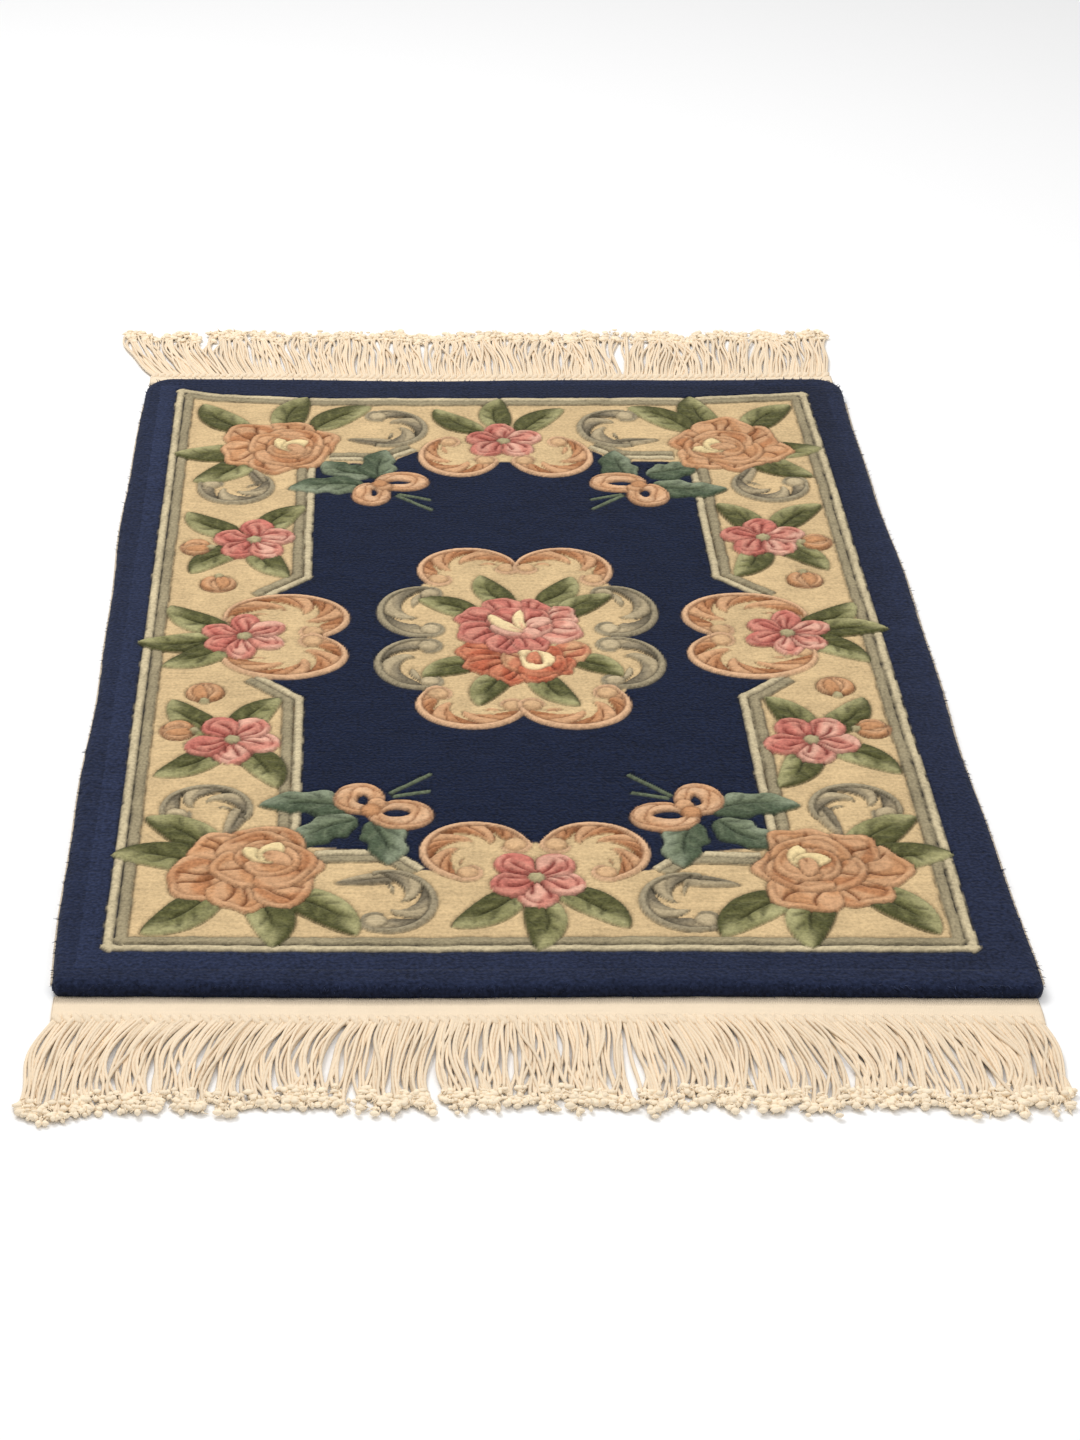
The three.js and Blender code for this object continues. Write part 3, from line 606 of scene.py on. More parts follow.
def feathers(x, y, rx, ry, start, swing, tones, grey):
    """A scroll's leafy body on its oval. Depth is the distance in from the oval, and u counts the feathers
    along the sweep, less a lean that grows with depth. Across a feather, f from 0 to 1, the body reaches
    in by its least and a hooked tooth: up to its blunt tip at f = 0.74, then down a quarter oval. Grooves
    lie along whole numbers of u, and finer ones between them, darkened as painted shade. Painted shade
    also darkens each feather beside the groove at its trailing side, and a grey one has a painted shadow
    along its inner edge and a painted highlight along its tooth's ridge."""
    body, light, deep, tip = tones
    mean, sweep = (rx + ry) / 2, abs(swing)
    count = round(sweep / (GREY_FEATHER if grey else PEACH_FEATHER))
    least, most = 0.24 * mean, (0.74 if grey else 0.67) * mean

    def shape(px, py):
        dx, dy = (px[:, None] - x) / rx, (py[None, :] - y) / ry
        depth = mean * (1 - np.hypot(dx, dy))
        turned = (np.degrees(np.arctan2(dy, dx)) - start) * copysign(1, swing)
        turned = np.mod(turned + 40, 360) - 40
        lean = 0.8 * (np.clip(depth - 4, 0, 99) / (most - 4)) ** 1.2
        f = np.mod(count * turned / sweep - lean, 1)
        tooth = np.where(f < 0.74, (f / 0.74) ** 0.75, np.sqrt(1 - (np.clip(f - 0.74, 0, 0.26) / 0.26) ** 2))
        ends = np.minimum(turned, sweep - turned)
        inner = (least + (most - least) * tooth) * (0.3 + 0.7 * smooth(ends / 35))
        pitch = radians(sweep) / count * np.maximum(mean - depth, 3)
        w = np.minimum(0.8 * (inner - depth), np.minimum(depth - 1.5, ends * 0.5))
        return w, (f, depth, pitch, inner - depth)

    def paint(f, depth, pitch, left):
        main = line_at(np.minimum(f, 1 - f) * pitch, 1.7)
        fine = np.maximum(line_at((f - 0.3) * pitch, 1.1), line_at((f - 0.58) * pitch, 1.1))
        fine = (0.3 if grey else 0.9) * fine * smooth((left - 1.5) / 3)
        lines = np.maximum(main, fine) * smooth((depth - 4) / 2.5)
        tone = blend(body, light, smooth((f - 0.25) / 0.55))
        if grey:
            # Painted highlight along the tooth's ridge, and painted shadow along the feather's inner edge.
            tone = blend(tone, tip, 0.6 * line_at(f - 0.72, 0.16) * smooth((depth - 3) / 4))
            tone = blend(tone, deep, 0.75 * line_at(left - 1.0, 1.1))
        tone = blend(tone, tip, 0.45 * smooth((depth - 0.46 * mean) / (0.2 * mean)))
        # Painted shade beside the groove at the feather's trailing side, and in the grooves themselves.
        tone = blend(tone, deep, 0.7 * smooth((0.34 - f) / 0.3) * smooth((depth - 4) / 4))
        return blend(tone, deep * 0.7, lines), 2.0 * lines

    carve(around(x, y, rx, ry), shape, 1.3, paint)


def scroll(kind, x, y, rx, ry, start, end):
    """A leafy scroll on an oval: its feathers, then the rim, which curls round a knob at each end. A grey
    one has a tail in place of its first knob."""
    grey = kind != "peach"
    swing = end - start
    hand = copysign(1, swing)
    if grey:
        rim, light, body, deep, knob = GREY_RIM, GREY_PALE, GREY_BODY, GREY_DARK, BALL_CREAM
    else:
        rim, light, body, deep, knob = RIM_PEACH, PEACH_PALE, PEACH, PEACH_DEEP, BALL_PEACH

    def rim_paint(t, s, a):
        # Painted shade: the rim darkens on its inner side, where it meets the feathers.
        return blend(rim, deep, 0.75 * smooth((hand * s - 0.3) * 1.8)), 0

    def tail_paint(t, s, a):
        # Painted shade: the streak cut along the tail is darkened.
        streak = line_at(a - 1.0, 1.1) * smooth((0.85 - t) / 0.3)
        return blend(blend(light, body, smooth(0.5 + s)), deep, 0.8 * streak), streak

    t = np.linspace(0, 1, 26)
    if kind == "grey":
        foot = arc(x, y, rx - 8, ry - 8, start + 0.1 * swing, start, 11)
        tail = foot[0] + unit(foot[10] - foot[3]) * 36 * t[:, None]
        strip(tail, 6.5 * (1 - t**2) ** 0.8 + 0.5, 1.1, tail_paint)
    feathers(x, y, rx, ry, start, swing, (body, light, deep, knob if grey else light), grey)
    rim_half = 1.2 + 1.6 * np.sin(pi * np.clip(np.linspace(0, 1, 48), 0.05, 0.95)) ** 0.4
    strip(arc(x, y, rx - 2.7, ry - 2.7, start, end, 48), rim_half, 1.4, rim_paint, dip=1.0)
    knobs = [(end, hand, 7.8)] if kind == "grey" else [(end, hand, 7.8), (start, -hand, 7.2)]
    for angle, way, size in knobs:
        bx, by = x + (rx - size - 3.6) * cos(radians(angle)), y + (ry - size - 3.6) * sin(radians(angle))
        wrap = arc(bx, by, size + 0.9, size + 0.9, angle - 12 * way, angle + 190 * way, 26)
        strip(wrap, 0.9 + 1.7 * (1 - t) ** 0.6, 1.4, rim, dip=0.7)
        dome(bx, by, size, 1.7, knob, knob * 0.3 + deep * 0.7, 0.8)


def offset_path(points, offset, ring):
    """A polyline moved to its left by an offset, with mitred corners and a point every few mm."""
    corners = np.array(points, dtype=float)
    corners = corners + side_of(corners, ring) * offset
    starts, ends = (corners, np.roll(corners, -1, axis=0)) if ring else (corners[:-1], corners[1:])
    runs = []
    for a, b in zip(starts, ends):
        count = max(2, int(np.linalg.norm(b - a) / STRIPE_STEP))
        runs.append(a + (b - a) * np.linspace(0, 1, count, endpoint=False)[:, None])
    return np.concatenate(runs if ring else runs + [corners[-1:]])


def guard_stripes():
    """Pairs of bands along the border's edges: a cream one outside and a grey-green one inside it."""
    for k, points in enumerate([OUTER_STRIPE] + INNER_STRIPES):
        ring, hand = k == 0, 1 if k == 0 else -1
        for offset, half, tint in ((3.3, 3.4, CREAM_STRIPE), (10.9, 4.1, GREY_STRIPE)):
            path = offset_path(points, hand * offset, ring)
            length = np.arange(len(path)) * STRIPE_STEP
            wobble = 0.45 * waver(length / 5.5, k + offset) + 0.5 * waver(length / 40, k)
            spine = path + unit(side_of(path, ring)) * wobble[:, None]

            def paint(t, s, a, tint=tint, phase=k + offset):
                speck = np.sin(1700 * t + phase) * np.sin(11 * s + 900 * t)
                # Painted shade: the stripe darkens towards both edges and a little all over; the speckle and
                # the waver are the wool's uneven tone.
                painted_shade_and_speckle = 0.8 * np.abs(s) ** 4 + 0.1 + 0.14 * speck + 0.1 * waver(150 * t, phase)
                return blend(tint, GREY_DARK, painted_shade_and_speckle), 0

            strip(spine, half + 0.35 * waver(length / 3.1, k * 2 + offset), 0.5, paint, ring, 1.8, 1.1)


def bow(index, loops, leaves, stems):
    """A bow: two soft loops with open middles, spruce leaves behind them, two stems and two knots."""
    for k, (x, y, angle, length) in enumerate(leaves):
        leaf(x, y, angle, length, 29, SPRUCE_TONES, index + k * 1.7, 1.0 + 0.1 * k, 0.16)
    for x0, y0, x1, y1 in stems:
        strip(np.linspace((x0, y0), (x1, y1), 14), 1.6, 0.5, SPRUCE_TONES[1])
    (x0, y0, _, _), (x1, y1, _, _) = loops
    turn = np.linspace(0, 2 * pi, 44, endpoint=False)
    for k, (x, y, rx, ry) in enumerate(loops):
        uneven = 1 + 0.09 * waver(turn, index + k) * np.sin(turn / 2) ** 2
        loop = np.stack([(rx - 6.6) * np.cos(turn), (ry - 6.4) * np.sin(turn)], axis=1) * uneven[:, None]
        outer = atan2(y - (y0 + y1) / 2, x - (x0 + x1) / 2)

        def paint(t, s, a, k=k):
            swerve = 0.4 * np.sin(4 * pi * t + 2)
            creases = np.maximum(line_at(s - swerve, 0.13), line_at(s + 0.5 + 0.7 * swerve, 0.11))
            body = blend(RIM_PEACH, PEACH_PALE, smooth(0.5 + 0.6 * np.sin(13 * t + 2 * s + k)))
            # Painted shade: each loop darkens towards its edges and in its cut creases.
            body = blend(body, PEACH_DEEP, 0.42 * smooth((np.abs(s) - 0.6) * 2.4))
            return blend(body, PEACH_DEEP, 0.7 * creases), 1.1 * creases

        strip(loop + (x, y), 6.6 + 1.7 * np.cos(turn - outer), 1.2 + 0.2 * k, paint, ring=True)
    dome(0.42 * x0 + 0.58 * x1, 0.45 * y0 + 0.55 * y1 + 2, 7, 1.8, PEACH_PALE, PEACH_DEEP)
    dome(0.25 * x0 + 0.75 * x1, 0.8 * y0 + 0.2 * y1, 7, 1.6, PEACH_MID, PEACH_DEEP)


def bunch():
    """The middle bunch: a large pink rose with cream inner petals over a small coral one."""
    for k, (x, y, angle, length) in enumerate(BUNCH_LEAVES):
        leaf(x, y, angle, length + 4, 25, LEAF_TONES, k * 1.9 + 0.4)
    coral, coral_light = (CORAL, CORAL_PALE, CORAL_DEEP), (CORAL_PALE, PEACH_PALE, CORAL_DEEP)
    for k, (middle, span, reach) in enumerate(CORAL_PETALS):
        shades = coral_light if k == 2 else coral
        petal(8, -40, middle, span, reach, 1.2 + 0.1 * (k % 2), shades, k * 1.3, 4.5, 0.07, 2, 0.3)
    for k in range(3):
        shades = (coral, coral_light)[k % 2]
        petal(13, -44, 60 + 120 * k, 150, 24 + k, 1.6 + 0.1 * k, shades, k + 3.3, 3.5, 0.0, 1, 0.2)
    swell = 1.3 * np.cos(np.radians(np.linspace(0, 351, 40) * 3 - 20))
    strip(arc(14, -46, 9, 11, 0, 351, 40), 3.6 + swell, 2.0, CREAM_PETAL, ring=True)
    spike(11, -42, 112, 20, 10, CREAM_PETAL, CORAL_DEEP, 2.1)
    spike(13, -53, 84, 18, 11, CORAL_PALE, CORAL_DEEP, 2.4)
    pink, pink_light = (PINK, PINK_MID, PINK_DEEP), (PINK_MID, PINK_PALE, PINK_DEEP)
    for k in range(8):
        middle = 22 + 45 * k + 5 * sin(3 * k)
        reach = 44 + 3.5 * cos(radians(2 * middle)) + 1.5 * sin(4 * k)
        shades = pink_light if k in (0, 7) else pink
        petal(3, 7, middle, 58, reach, 1.4 + 0.15 * (k % 2), shades, k * 2.3 + 5, 4.5, 0.06, 2, 0.45)
    for k in range(4):
        shades = pink_light if k == 3 else pink
        petal(5, 10, 50 + 90 * k, 118, 25.5 + sin(2 * k), 1.8, shades, k + 9.2, 3.2, 0.0, 1, 0.4)
    spike(10, 4, 28, 21, 14, PINK_PALE, PINK_DEEP, 2.1)
    spike(6, -6, 152, 27, 13, PINK_PALE, PINK_DEEP, 2.1)
    spike(6, -4, 132, 36, 11, CREAM_PETAL, PINK_MID, 2.1)
    spike(7, 0, 92, 29, 9, CREAM_PETAL, PINK_MID, 2.1)


def inside(polygon, x, y):
    """True where a point lies in a polygon: it crosses an odd number of sides to its right."""
    found = np.zeros(x.shape, dtype=bool)
    for (x0, y0), (x1, y1) in zip(polygon, polygon[1:] + polygon[:1]):
        slope = (x1 - x0) / (y1 - y0) if y1 != y0 else 0.0
        found ^= ((y0 > y) != (y1 > y)) & (x < x0 + slope * (y - y0))
    return found


def is_cream(x, y):
    """True on the cream ground: in the border but not in the field, and in the medallions."""
    cream = inside(BORDER, x, y) & ~inside(FIELD, x, y)
    for cx, cy, rx, ry in CREAM_OVALS:
        cream |= ((x - cx) / rx) ** 2 + ((y - cy) / ry) ** 2 < 1
    return cream


def ground_tint(x, y, soft):
    """The plain pile's tint: cream or navy, with cream's share taken as the mean of five tests in a square
    of half-side soft, so that its edge is soft. The border's navy is painted lighter to the near left, as
    painted light where the leaning pile catches the light: by 0.9215 - 0.5 x - 0.3 y in metres, by 0.15
    more within 40 mm of the sides, and by 0.3 more at the far half of the left side."""
    corners = ((-soft, -soft), (soft, -soft), (soft, soft), (-soft, soft), (0, 0))
    share = np.mean([is_cream(x + dx, y + dy) for dx, dy in corners], axis=0)
    # Painted light: the border's navy is lightened where the leaning pile catches the light, more near the
    # sides.
    painted_rim_sheen = smooth((np.abs(x) - 260) / 30) * (0.15 + 0.3 * smooth((y - 55) / 200) * (x < 0))
    lean = 0.9215 - 0.5 * MM * x - 0.3 * MM * y + painted_rim_sheen
    navy = np.where(inside(FIELD, x, y)[..., None], NAVY_FIELD * 0.93, NAVY_BORDER * lean[..., None])
    return blend(navy, CREAM_GROUND, share)


def rumple(x, y):
    """The pile's unevenness in mm: long soft swells of 0.35 and short ones of 0.15."""
    long = 0.35 * np.sin(x / 61 + 0.4 * np.sin(y / 83)) * np.cos(y / 71)
    short = 0.15 * np.sin(x / 9.3 + 1.7 * np.sin(y / 13)) * np.cos(y / 8.1 + np.sin(x / 17))
    return long + short


def carved_top(px, py):
    """The pile's top over a grid in mm: its height above the plain pile and its tint, carved with one
    motif after another. Round a motif the pile is cut down by dip within GROOVE_WIDTH, and inside it the
    top climbs from that cut to its rise on a quarter circle of the motif's rounding. Painted shade darkens
    the tint in that cut and towards the motif's foot."""
    py = py - PATTERN_SHIFT
    x, y = np.meshgrid(px, py, indexing="ij")
    height, tint = np.zeros(x.shape), ground_tint(x, y, 0.3 * (px[1] - px[0]))
    for box, shape, rise, paint, rounding, dip in motifs:
        at = window(px, py, box)
        if height[at].size == 0:
            continue
        w, where = shape(px[at[0]], py[at[1]])
        tone, groove = paint(*where)
        near = smooth(1 + w / GROOVE_WIDTH)
        foot = np.where(near > 0, np.maximum(height[at] - dip * near, -GROOVE_DEPTH), height[at])
        crown = np.sqrt(np.clip(1 - (1 - np.clip(w / rounding, 0, 1)) ** 2, 0, 1))
        cover = smooth(0.5 + w / EDGE_SOFT)
        height[at] = foot * (1 - cover) + (foot + (rise - groove - foot) * crown) * cover
        # Painted shade: the motif's tint darkens where its edge rounds down to its foot.
        tone = tone * (1 - 0.5 * (1 - crown) ** 1.5)[..., None]
        # Painted shade: the pile round the motif darkens in the cut, by dip.
        tint[at] = blend(tint[at] * (1 - 0.34 * dip * near)[..., None], tone, cover)
    return height, tint


def side_wave(y, side):
    """How far a side of the pile strays outward at y, as in the solids."""
    y = y / MM
    return (1.3 * np.sin(y / 74 + side) + 0.6 * np.sin(y / 29 - 2 * side)) * MM


def near_wave(x):
    return 0.8 * np.sin(x / MM / 60) * MM


def far_wave(x):
    x = x / MM
    return (4 * (x / 300) ** 2 - 1.5 + 0.8 * np.sin(x / 37)) * MM


def pile_plan(u, v):
    """The pile's plan: u and v from -1 to 1 are a plain rectangle's x and y. A corner's square is pushed
    onto its arc, by d * max(|dx|, |dy|) / |d| about the arc's centre, and the edges waver."""
    mid, reach = (PILE_FAR + PILE_NEAR) / 2, (PILE_FAR - PILE_NEAR) / 2
    x, y = u * HALF_WIDTH, mid + v * reach
    radius = np.where(v < 0, NEAR_CORNER, FAR_CORNER)
    dx = np.maximum(np.abs(x) - (HALF_WIDTH - radius), 0)
    dy = np.maximum(np.abs(y - mid) - (reach - radius), 0)
    pull = np.maximum(dx, dy) / np.maximum(np.hypot(dx, dy), 1e-9)
    x = np.sign(x) * (np.abs(x) - dx + dx * pull)
    y = mid + np.sign(y - mid) * (np.abs(y - mid) - dy + dy * pull)
    side = np.sign(u)
    x = x + side * side_wave(y, side) * np.abs(u) ** 8
    return x, y + np.where(v < 0, near_wave(x), far_wave(x)) * np.abs(v) ** 8


def lattice(rows, columns):
    """A grid's quads, and the indices round its edge, anticlockwise from above."""
    index = np.arange(rows * columns).reshape(rows, columns)
    quads = np.stack([index[:-1, :-1], index[1:, :-1], index[1:, 1:], index[:-1, 1:]], -1)
    edge = np.concatenate([index[:-1, 0], index[-1, :-1], index[:0:-1, -1], index[0, :0:-1]])
    return quads.reshape(-1, 4), edge


def patch(name, i_range, j_range, material):
    """A carved part of the pile's top, between lines i and j of its lattice. It ends in straight walls
    that stand in the plain pile's hollow, and its outermost line dips under the plain pile."""
    px, py = (np.arange(low, high + 1) * LATTICE for low, high in (i_range, j_range))
    height, tint = carved_top(px, py)
    x, y = np.meshgrid(px, py, indexing="ij")
    outermost = (np.abs(x) > LATTICE * (PATCH_ACROSS - 0.5)) | (np.abs(y) > LATTICE * (PATCH_ALONG - 0.5))
    z = GROUND / MM + height + rumple(x, y) - 0.25 * outermost
    top = np.stack([x, y, z], -1).reshape(-1, 3) * MM
    quads, rim = lattice(len(px), len(py))
    heap = Heap()
    heap.keep(top, tint.reshape(-1, 3))
    heap.add_faces(quads)
    foot = heap.keep(top[rim] * [1, 1, 0] + [0, 0, GROUND - HOLLOW - MM], NAVY_BORDER)
    heap.wall(rim, foot)
    heap.add_faces(foot[::-1][None])
    return heap.make(name, material, "wool_pile", sharp=rim)


def ground(material):
    """The plain pile: rings about its rim, from a flat hollow under the carved patches, over its navy
    border, round its upper edge and down the side walls, which swell a little, to the backing."""
    reach = (PILE_FAR - PILE_NEAR) / 2
    columns, rows = int(2 * HALF_WIDTH / GRID_STEP), int(2 * reach / GRID_STEP)
    a, b = np.linspace(-1, 1, columns, endpoint=False), np.linspace(-1, 1, rows, endpoint=False)
    u = np.concatenate([a, np.ones(rows), -a, -np.ones(rows)])
    v = np.concatenate([-np.ones(columns), b, np.ones(columns), -b])
    heap, last = Heap(), None
    for inset in (27, 22, 19.5, 17.5, 14, 10, 7, 5, 3.2, 1.8, 0.8, 0.2):
        x, y = pile_plan(u * (1 - inset * MM / HALF_WIDTH), v * (1 - inset * MM / reach))
        rounded = 3.2 * (1 - sqrt(1 - (1 - min(inset / 7, 1)) ** 2))
        hollow = HOLLOW / MM * smooth((inset - 17.5) / 4.5)
        z = GROUND + (rumple(x / MM, y / MM) - 0.12 * (inset > 9) - rounded - hollow) * MM
        if last is None:
            z[:] = GROUND - HOLLOW
        ring = heap.keep(np.stack([x, y, z], -1), NAVY_BORDER)
        if last is None:
            heap.add_faces(ring[None])
        else:
            heap.wall(last, ring)
        last = ring
    rim = np.stack([x, y], -1)
    out = -side_of(rim, ring=True)
    for k, (swell, height) in enumerate([(0.9, 0.78), (1.2, 0.55), (0.9, 0.34), (0.2, 0.12)]):
        wave = 0.5 * waver(np.arange(len(rim)) * 0.45, k)
        z = np.full(len(rim), max(height * (GROUND - 3 * MM), BACK_THICKNESS))
        wall = np.column_stack([rim + out * ((swell + wave) * MM)[:, None], z])
        ring = heap.keep(wall, NAVY_BORDER * 0.85)
        heap.wall(last, ring)
        last = ring
    heap.add_faces(last[::-1][None])
    return heap.make("pile_ground", material, "wool_pile")


def backing(material):
    """The foundation under the pile, with the pattern's colours showing through as rows of knots."""
    columns, rows = int(2 * HALF_WIDTH / BACK_STEP), int((PILE_FAR - PILE_NEAR) / BACK_STEP)
    u, v = np.meshgrid(np.linspace(-1, 1, columns), np.linspace(-1, 1, rows), indexing="ij")
    x, y = pile_plan(u, v)
    x, y = x * 0.997, y * 0.998
    _, tint = carved_top(x[:, rows // 2] / MM, y[columns // 2] / MM)
    low = np.stack([x, y, 0 * x], -1).reshape(-1, 3)
    quads, rim = lattice(columns, rows)
    heap = Heap()
    heap.keep(low, tint.reshape(-1, 3) * 0.8)
    heap.add_faces(quads[:, ::-1])
    upper = heap.keep(low[rim] + [0, 0, BACK_THICKNESS], COTTON * 0.8)
    heap.wall(upper, rim)
    heap.add_faces(upper[None])
    return heap.make("pile_backing", material, "wool_pile")


def near_lean(x):
    """Sideways fall of a near strand's end, in mm, from its root's x in mm."""
    return 22 * np.sin(x / 170) * np.where(x > 150, 1 - (x - 150) / 220, 1 - 0.3 * smooth((-x - 215) / 80))


def far_lean(x):
    away = x - PARTING
    parted = 5 * np.sign(away) * np.exp(-np.abs(away) / 40)
    return np.where(x < 0, -36 * (x / 300) ** 2, 9 * (x / 300)) + parted


# The fringes: the pile's edge and the way out, its wave, the strands' lean, length and bend, and a seed
ENDS = {
    "near": (PILE_NEAR, -1, near_wave, near_lean, 82, 2.6, 11),
    "far": (PILE_FAR, 1, far_wave, far_lean, 94, 1.4, 23),
}


def strand_paths(name):
    """Centre lines (k, n, 3) of one end's strands. A strand leans over within its first part and then
    runs straighter, wavers, and is drawn towards the nearest clump; some lie over the others."""
    edge, out, wave, lean, length, bend, seed = ENDS[name]
    rng = np.random.default_rng(seed)
    root = np.linspace(-HALF_SPREAD, HALF_SPREAD, STRANDS) + rng.uniform(-0.6, 0.6, STRANDS)
    over = rng.random(STRANDS) < 0.3
    longer = 0.1 * smooth((-root - 180) / 80) if out < 0 else 0.0
    length = length * (1 + rng.uniform(-0.14, 0.06, STRANDS) + 0.05 * waver(root / 17, seed) + longer)
    clump = 19 * np.round((root + 7 * waver(root / 60, 3)) / 19)
    pull = rng.uniform(0.0, 0.16, STRANDS) * (clump - root)
    neighbours = 4.5 * waver(root / 13, seed + 1)
    centred = 1 - 0.6 * smooth((np.abs(root) - 255) / 40)
    stray = np.where(over, rng.normal(0, 8, STRANDS), rng.normal(0, 2.4, STRANDS)) * centred
    t = np.linspace(0, 1, 15)[None, :]
    beat = rng.uniform(0.7, 1.6, (STRANDS, 1))
    sway = rng.uniform(0.8, 3.2, (STRANDS, 1)) * np.sin(2 * pi * (t * beat + rng.random((STRANDS, 1))))
    shared = 2.6 * np.sin(2 * pi * (0.8 * t + root[:, None] / 90)) * t
    fall = 1.12 * (1 - (1 - t) ** bend) - 0.22 * t**3
    x = root[:, None] + lean(root)[:, None] * fall + (pull + stray + neighbours * centred)[:, None] * t**1.35
    x = x + sway * t**0.8 + shared
    y = (edge + wave(root * MM))[:, None] / MM + out * (STRAND_START + length[:, None] * t)
    layer = np.where(over, rng.uniform(2.0, 3.4, STRANDS), rng.uniform(0, 1.8, STRANDS))[:, None]
    arch = np.sin(pi * np.clip(0.12 + t * 0.82, 0, 1))
    z = 1.14 * STRAND_RADIUS / MM + 0.5 * line_at(t, 0.08) + layer * arch
    return np.stack([x, y, z], -1) * MM


def tube_sections(paths, radius, sides):
    """Round sections about centre lines: c + r (cos a * side + sin a * up), with marks for the ply's
    twist: the length along in metres, and cos a and sin a."""
    along = unit(np.gradient(paths, axis=1))
    side = unit(np.cross(along, [0, 0, 1.0]))
    up = np.cross(side, along)
    a = np.linspace(0, 2 * pi, sides, endpoint=False)
    ring = np.cos(a)[:, None] * side[:, :, None, :] + np.sin(a)[:, None] * up[:, :, None, :]
    grids = paths[:, :, None, :] + np.asarray(radius)[..., None, None] * ring
    pieces = np.linalg.norm(np.diff(paths, axis=1), axis=2)
    length = np.pad(np.cumsum(pieces, axis=1), ((0, 0), (1, 0)))
    return grids, np.stack(np.broadcast_arrays(length[:, :, None], np.cos(a), np.sin(a)), -1)


def lumps(centres, sizes, sections, sides):
    """Small ovals of half-sizes (k, 3) about their centres, from sections along their own x."""
    u = np.linspace(-0.94, 0.94, sections)[:, None]
    a = np.linspace(0, 2 * pi, sides, endpoint=False)
    r = np.sqrt(1 - u * u)
    ball = np.stack(np.broadcast_arrays(u, r * np.cos(a), r * np.sin(a)), -1)
    return centres[:, None, None, :] + ball[None] * sizes[:, None, None, :]


def fringe(name, material):
    """One end's strands. Each ends in a frayed tuft: small soft lumps and a few short loose fibres."""
    _, out, _, _, _, _, seed = ENDS[name]
    rng = np.random.default_rng(seed + 1)
    heap = Heap()
    paths = strand_paths(name)
    t = np.linspace(0, 1, paths.shape[1])
    radius = STRAND_RADIUS * rng.uniform(0.88, 1.12, (STRANDS, 1)) * (1 - 0.1 * t**3)
    grids, mark = tube_sections(paths, radius, 5)
    heap.tubes(grids, COTTON * rng.uniform(0.93, 1.04, (STRANDS, 1, 1, 1)), mark)
    tips = paths[:, -1]
    spread = rng.normal(0, 1, (STRANDS, LUMPS, 3)) * [1.8 * MM, 2.6 * MM, 0.6 * MM]
    centres = (tips[:, None, :] + spread + [0, out * 0.8 * MM, 0]).reshape(-1, 3)
    sizes = rng.uniform(1.3, 3.4, (len(centres), 3)) * [1, 1, 0.6] * MM
    centres[:, 2] = np.maximum(centres[:, 2] + 0.9 * MM, sizes[:, 2])
    tones = TUFT * rng.uniform(0.94, 1.05, (len(centres), 1, 1, 1))
    heap.tubes(lumps(centres, sizes, 4, 5), tones)
    start = np.repeat(tips, WISPS, axis=0) + rng.normal(0, 1.3 * MM, (STRANDS * WISPS, 3)) * [1, 1, 0.3]
    heading = unit(rng.normal(0, 1, start.shape) * [1, 1, 0.4] + [0, out * 0.8, 0])
    reach = rng.uniform(2.4, 5.4, (len(start), 1)) * MM
    u = np.linspace(0, 1, 3)
    wisps = start[:, None, :] + (heading * reach)[:, None, :] * u[:, None]
    wisps[:, :, 2] = np.maximum(wisps[:, :, 2] + 1.2 * MM * (1 - u), 0.5 * MM)
    heap.tubes(tube_sections(wisps, 0.75 * MM * (1.1 - u), 3)[0], TUFT)
    return heap.make("fringe_strands_" + name, material, "cotton_fringe")


def end_band(name, material):
    """The woven band: a low strip, greyish and ribbed next to the pile and smooth beyond, and along its
    outer edge a row of leaning heading loops under which the strands start."""
    edge, out, wave, _, _, _, seed = ENDS[name]
    rng = np.random.default_rng(seed + 2)
    heap = Heap()
    x = np.linspace(-301, 301, 300)[:, None] * MM
    across, level = np.array(BAND_PROFILE).T * MM
    wander = 0.5 * MM * waver(x / MM / 23, seed) * np.linspace(0, 1, len(across))
    y = edge + wave(x) + out * (0.8 * MM + across + wander)
    z = level + 0.2 * MM * waver(x / MM / 9, 2) * (level > 0)
    greyed = smooth((8 * MM - across) / (3 * MM))
    grid = np.stack(np.broadcast_arrays(x, y, z), -1)
    heap.tubes(grid[None, ::out], blend(COTTON, COTTON * 0.8, greyed), greyed[:, None] * [1, 0, 0])
    x = np.linspace(-HALF_SPREAD, HALF_SPREAD, LOOPS) * MM
    y = edge + wave(x) + out * LOOP_ROW
    centres = np.stack([x, y, np.full(LOOPS, 2.4 * MM)], -1)
    sizes = np.stack([np.full(LOOPS, 2.95), rng.uniform(5.2, 6.2, LOOPS), np.full(LOOPS, 2.2)], -1) * MM
    loops = lumps(centres, sizes, 7, 8)
    loops[..., 0] += 0.45 * (loops[..., 1] - y[:, None, None]) * out
    loops[..., 2] = np.maximum(loops[..., 2], 0.1 * MM)
    heap.tubes(loops, COTTON * rng.uniform(0.97, 1.03, (LOOPS, 1, 1, 1)))
    return heap.make("end_band_" + name, material, "cotton_fringe")


def selvedge(name, side, material):
    """The overcast side cord: a low tube whose radius swells at each wrap, every 3 mm. It lies close
    under the pile's side wall."""
    low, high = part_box("selvedge_" + name)
    y = np.arange(low[1], high[1], 1.5 * MM)[:, None]
    wrap = 1 + 0.1 * np.cos(2 * pi * y / (3 * MM))
    a = np.linspace(0, 2 * pi, 8, endpoint=False)
    thick = 1.5 * MM if side > 0 else 1.0 * MM
    x = side * (HALF_WIDTH + side_wave(y, side) + 0.7 * MM + thick * (1 + np.cos(a)) * wrap)
    z = thick * (1 + np.sin(a)) * wrap
    grid = np.stack(np.broadcast_arrays(x, y, z), -1)
    heap = Heap()
    # Painted shade: the cord's cotton is painted darker and greyer, as in the shade under the pile's side
    # wall.
    heap.tubes(grid[None, :, ::-side], COTTON * [0.72, 0.74, 0.78])
    return heap.make("side_cord_" + name, material, "cotton_selvedge")


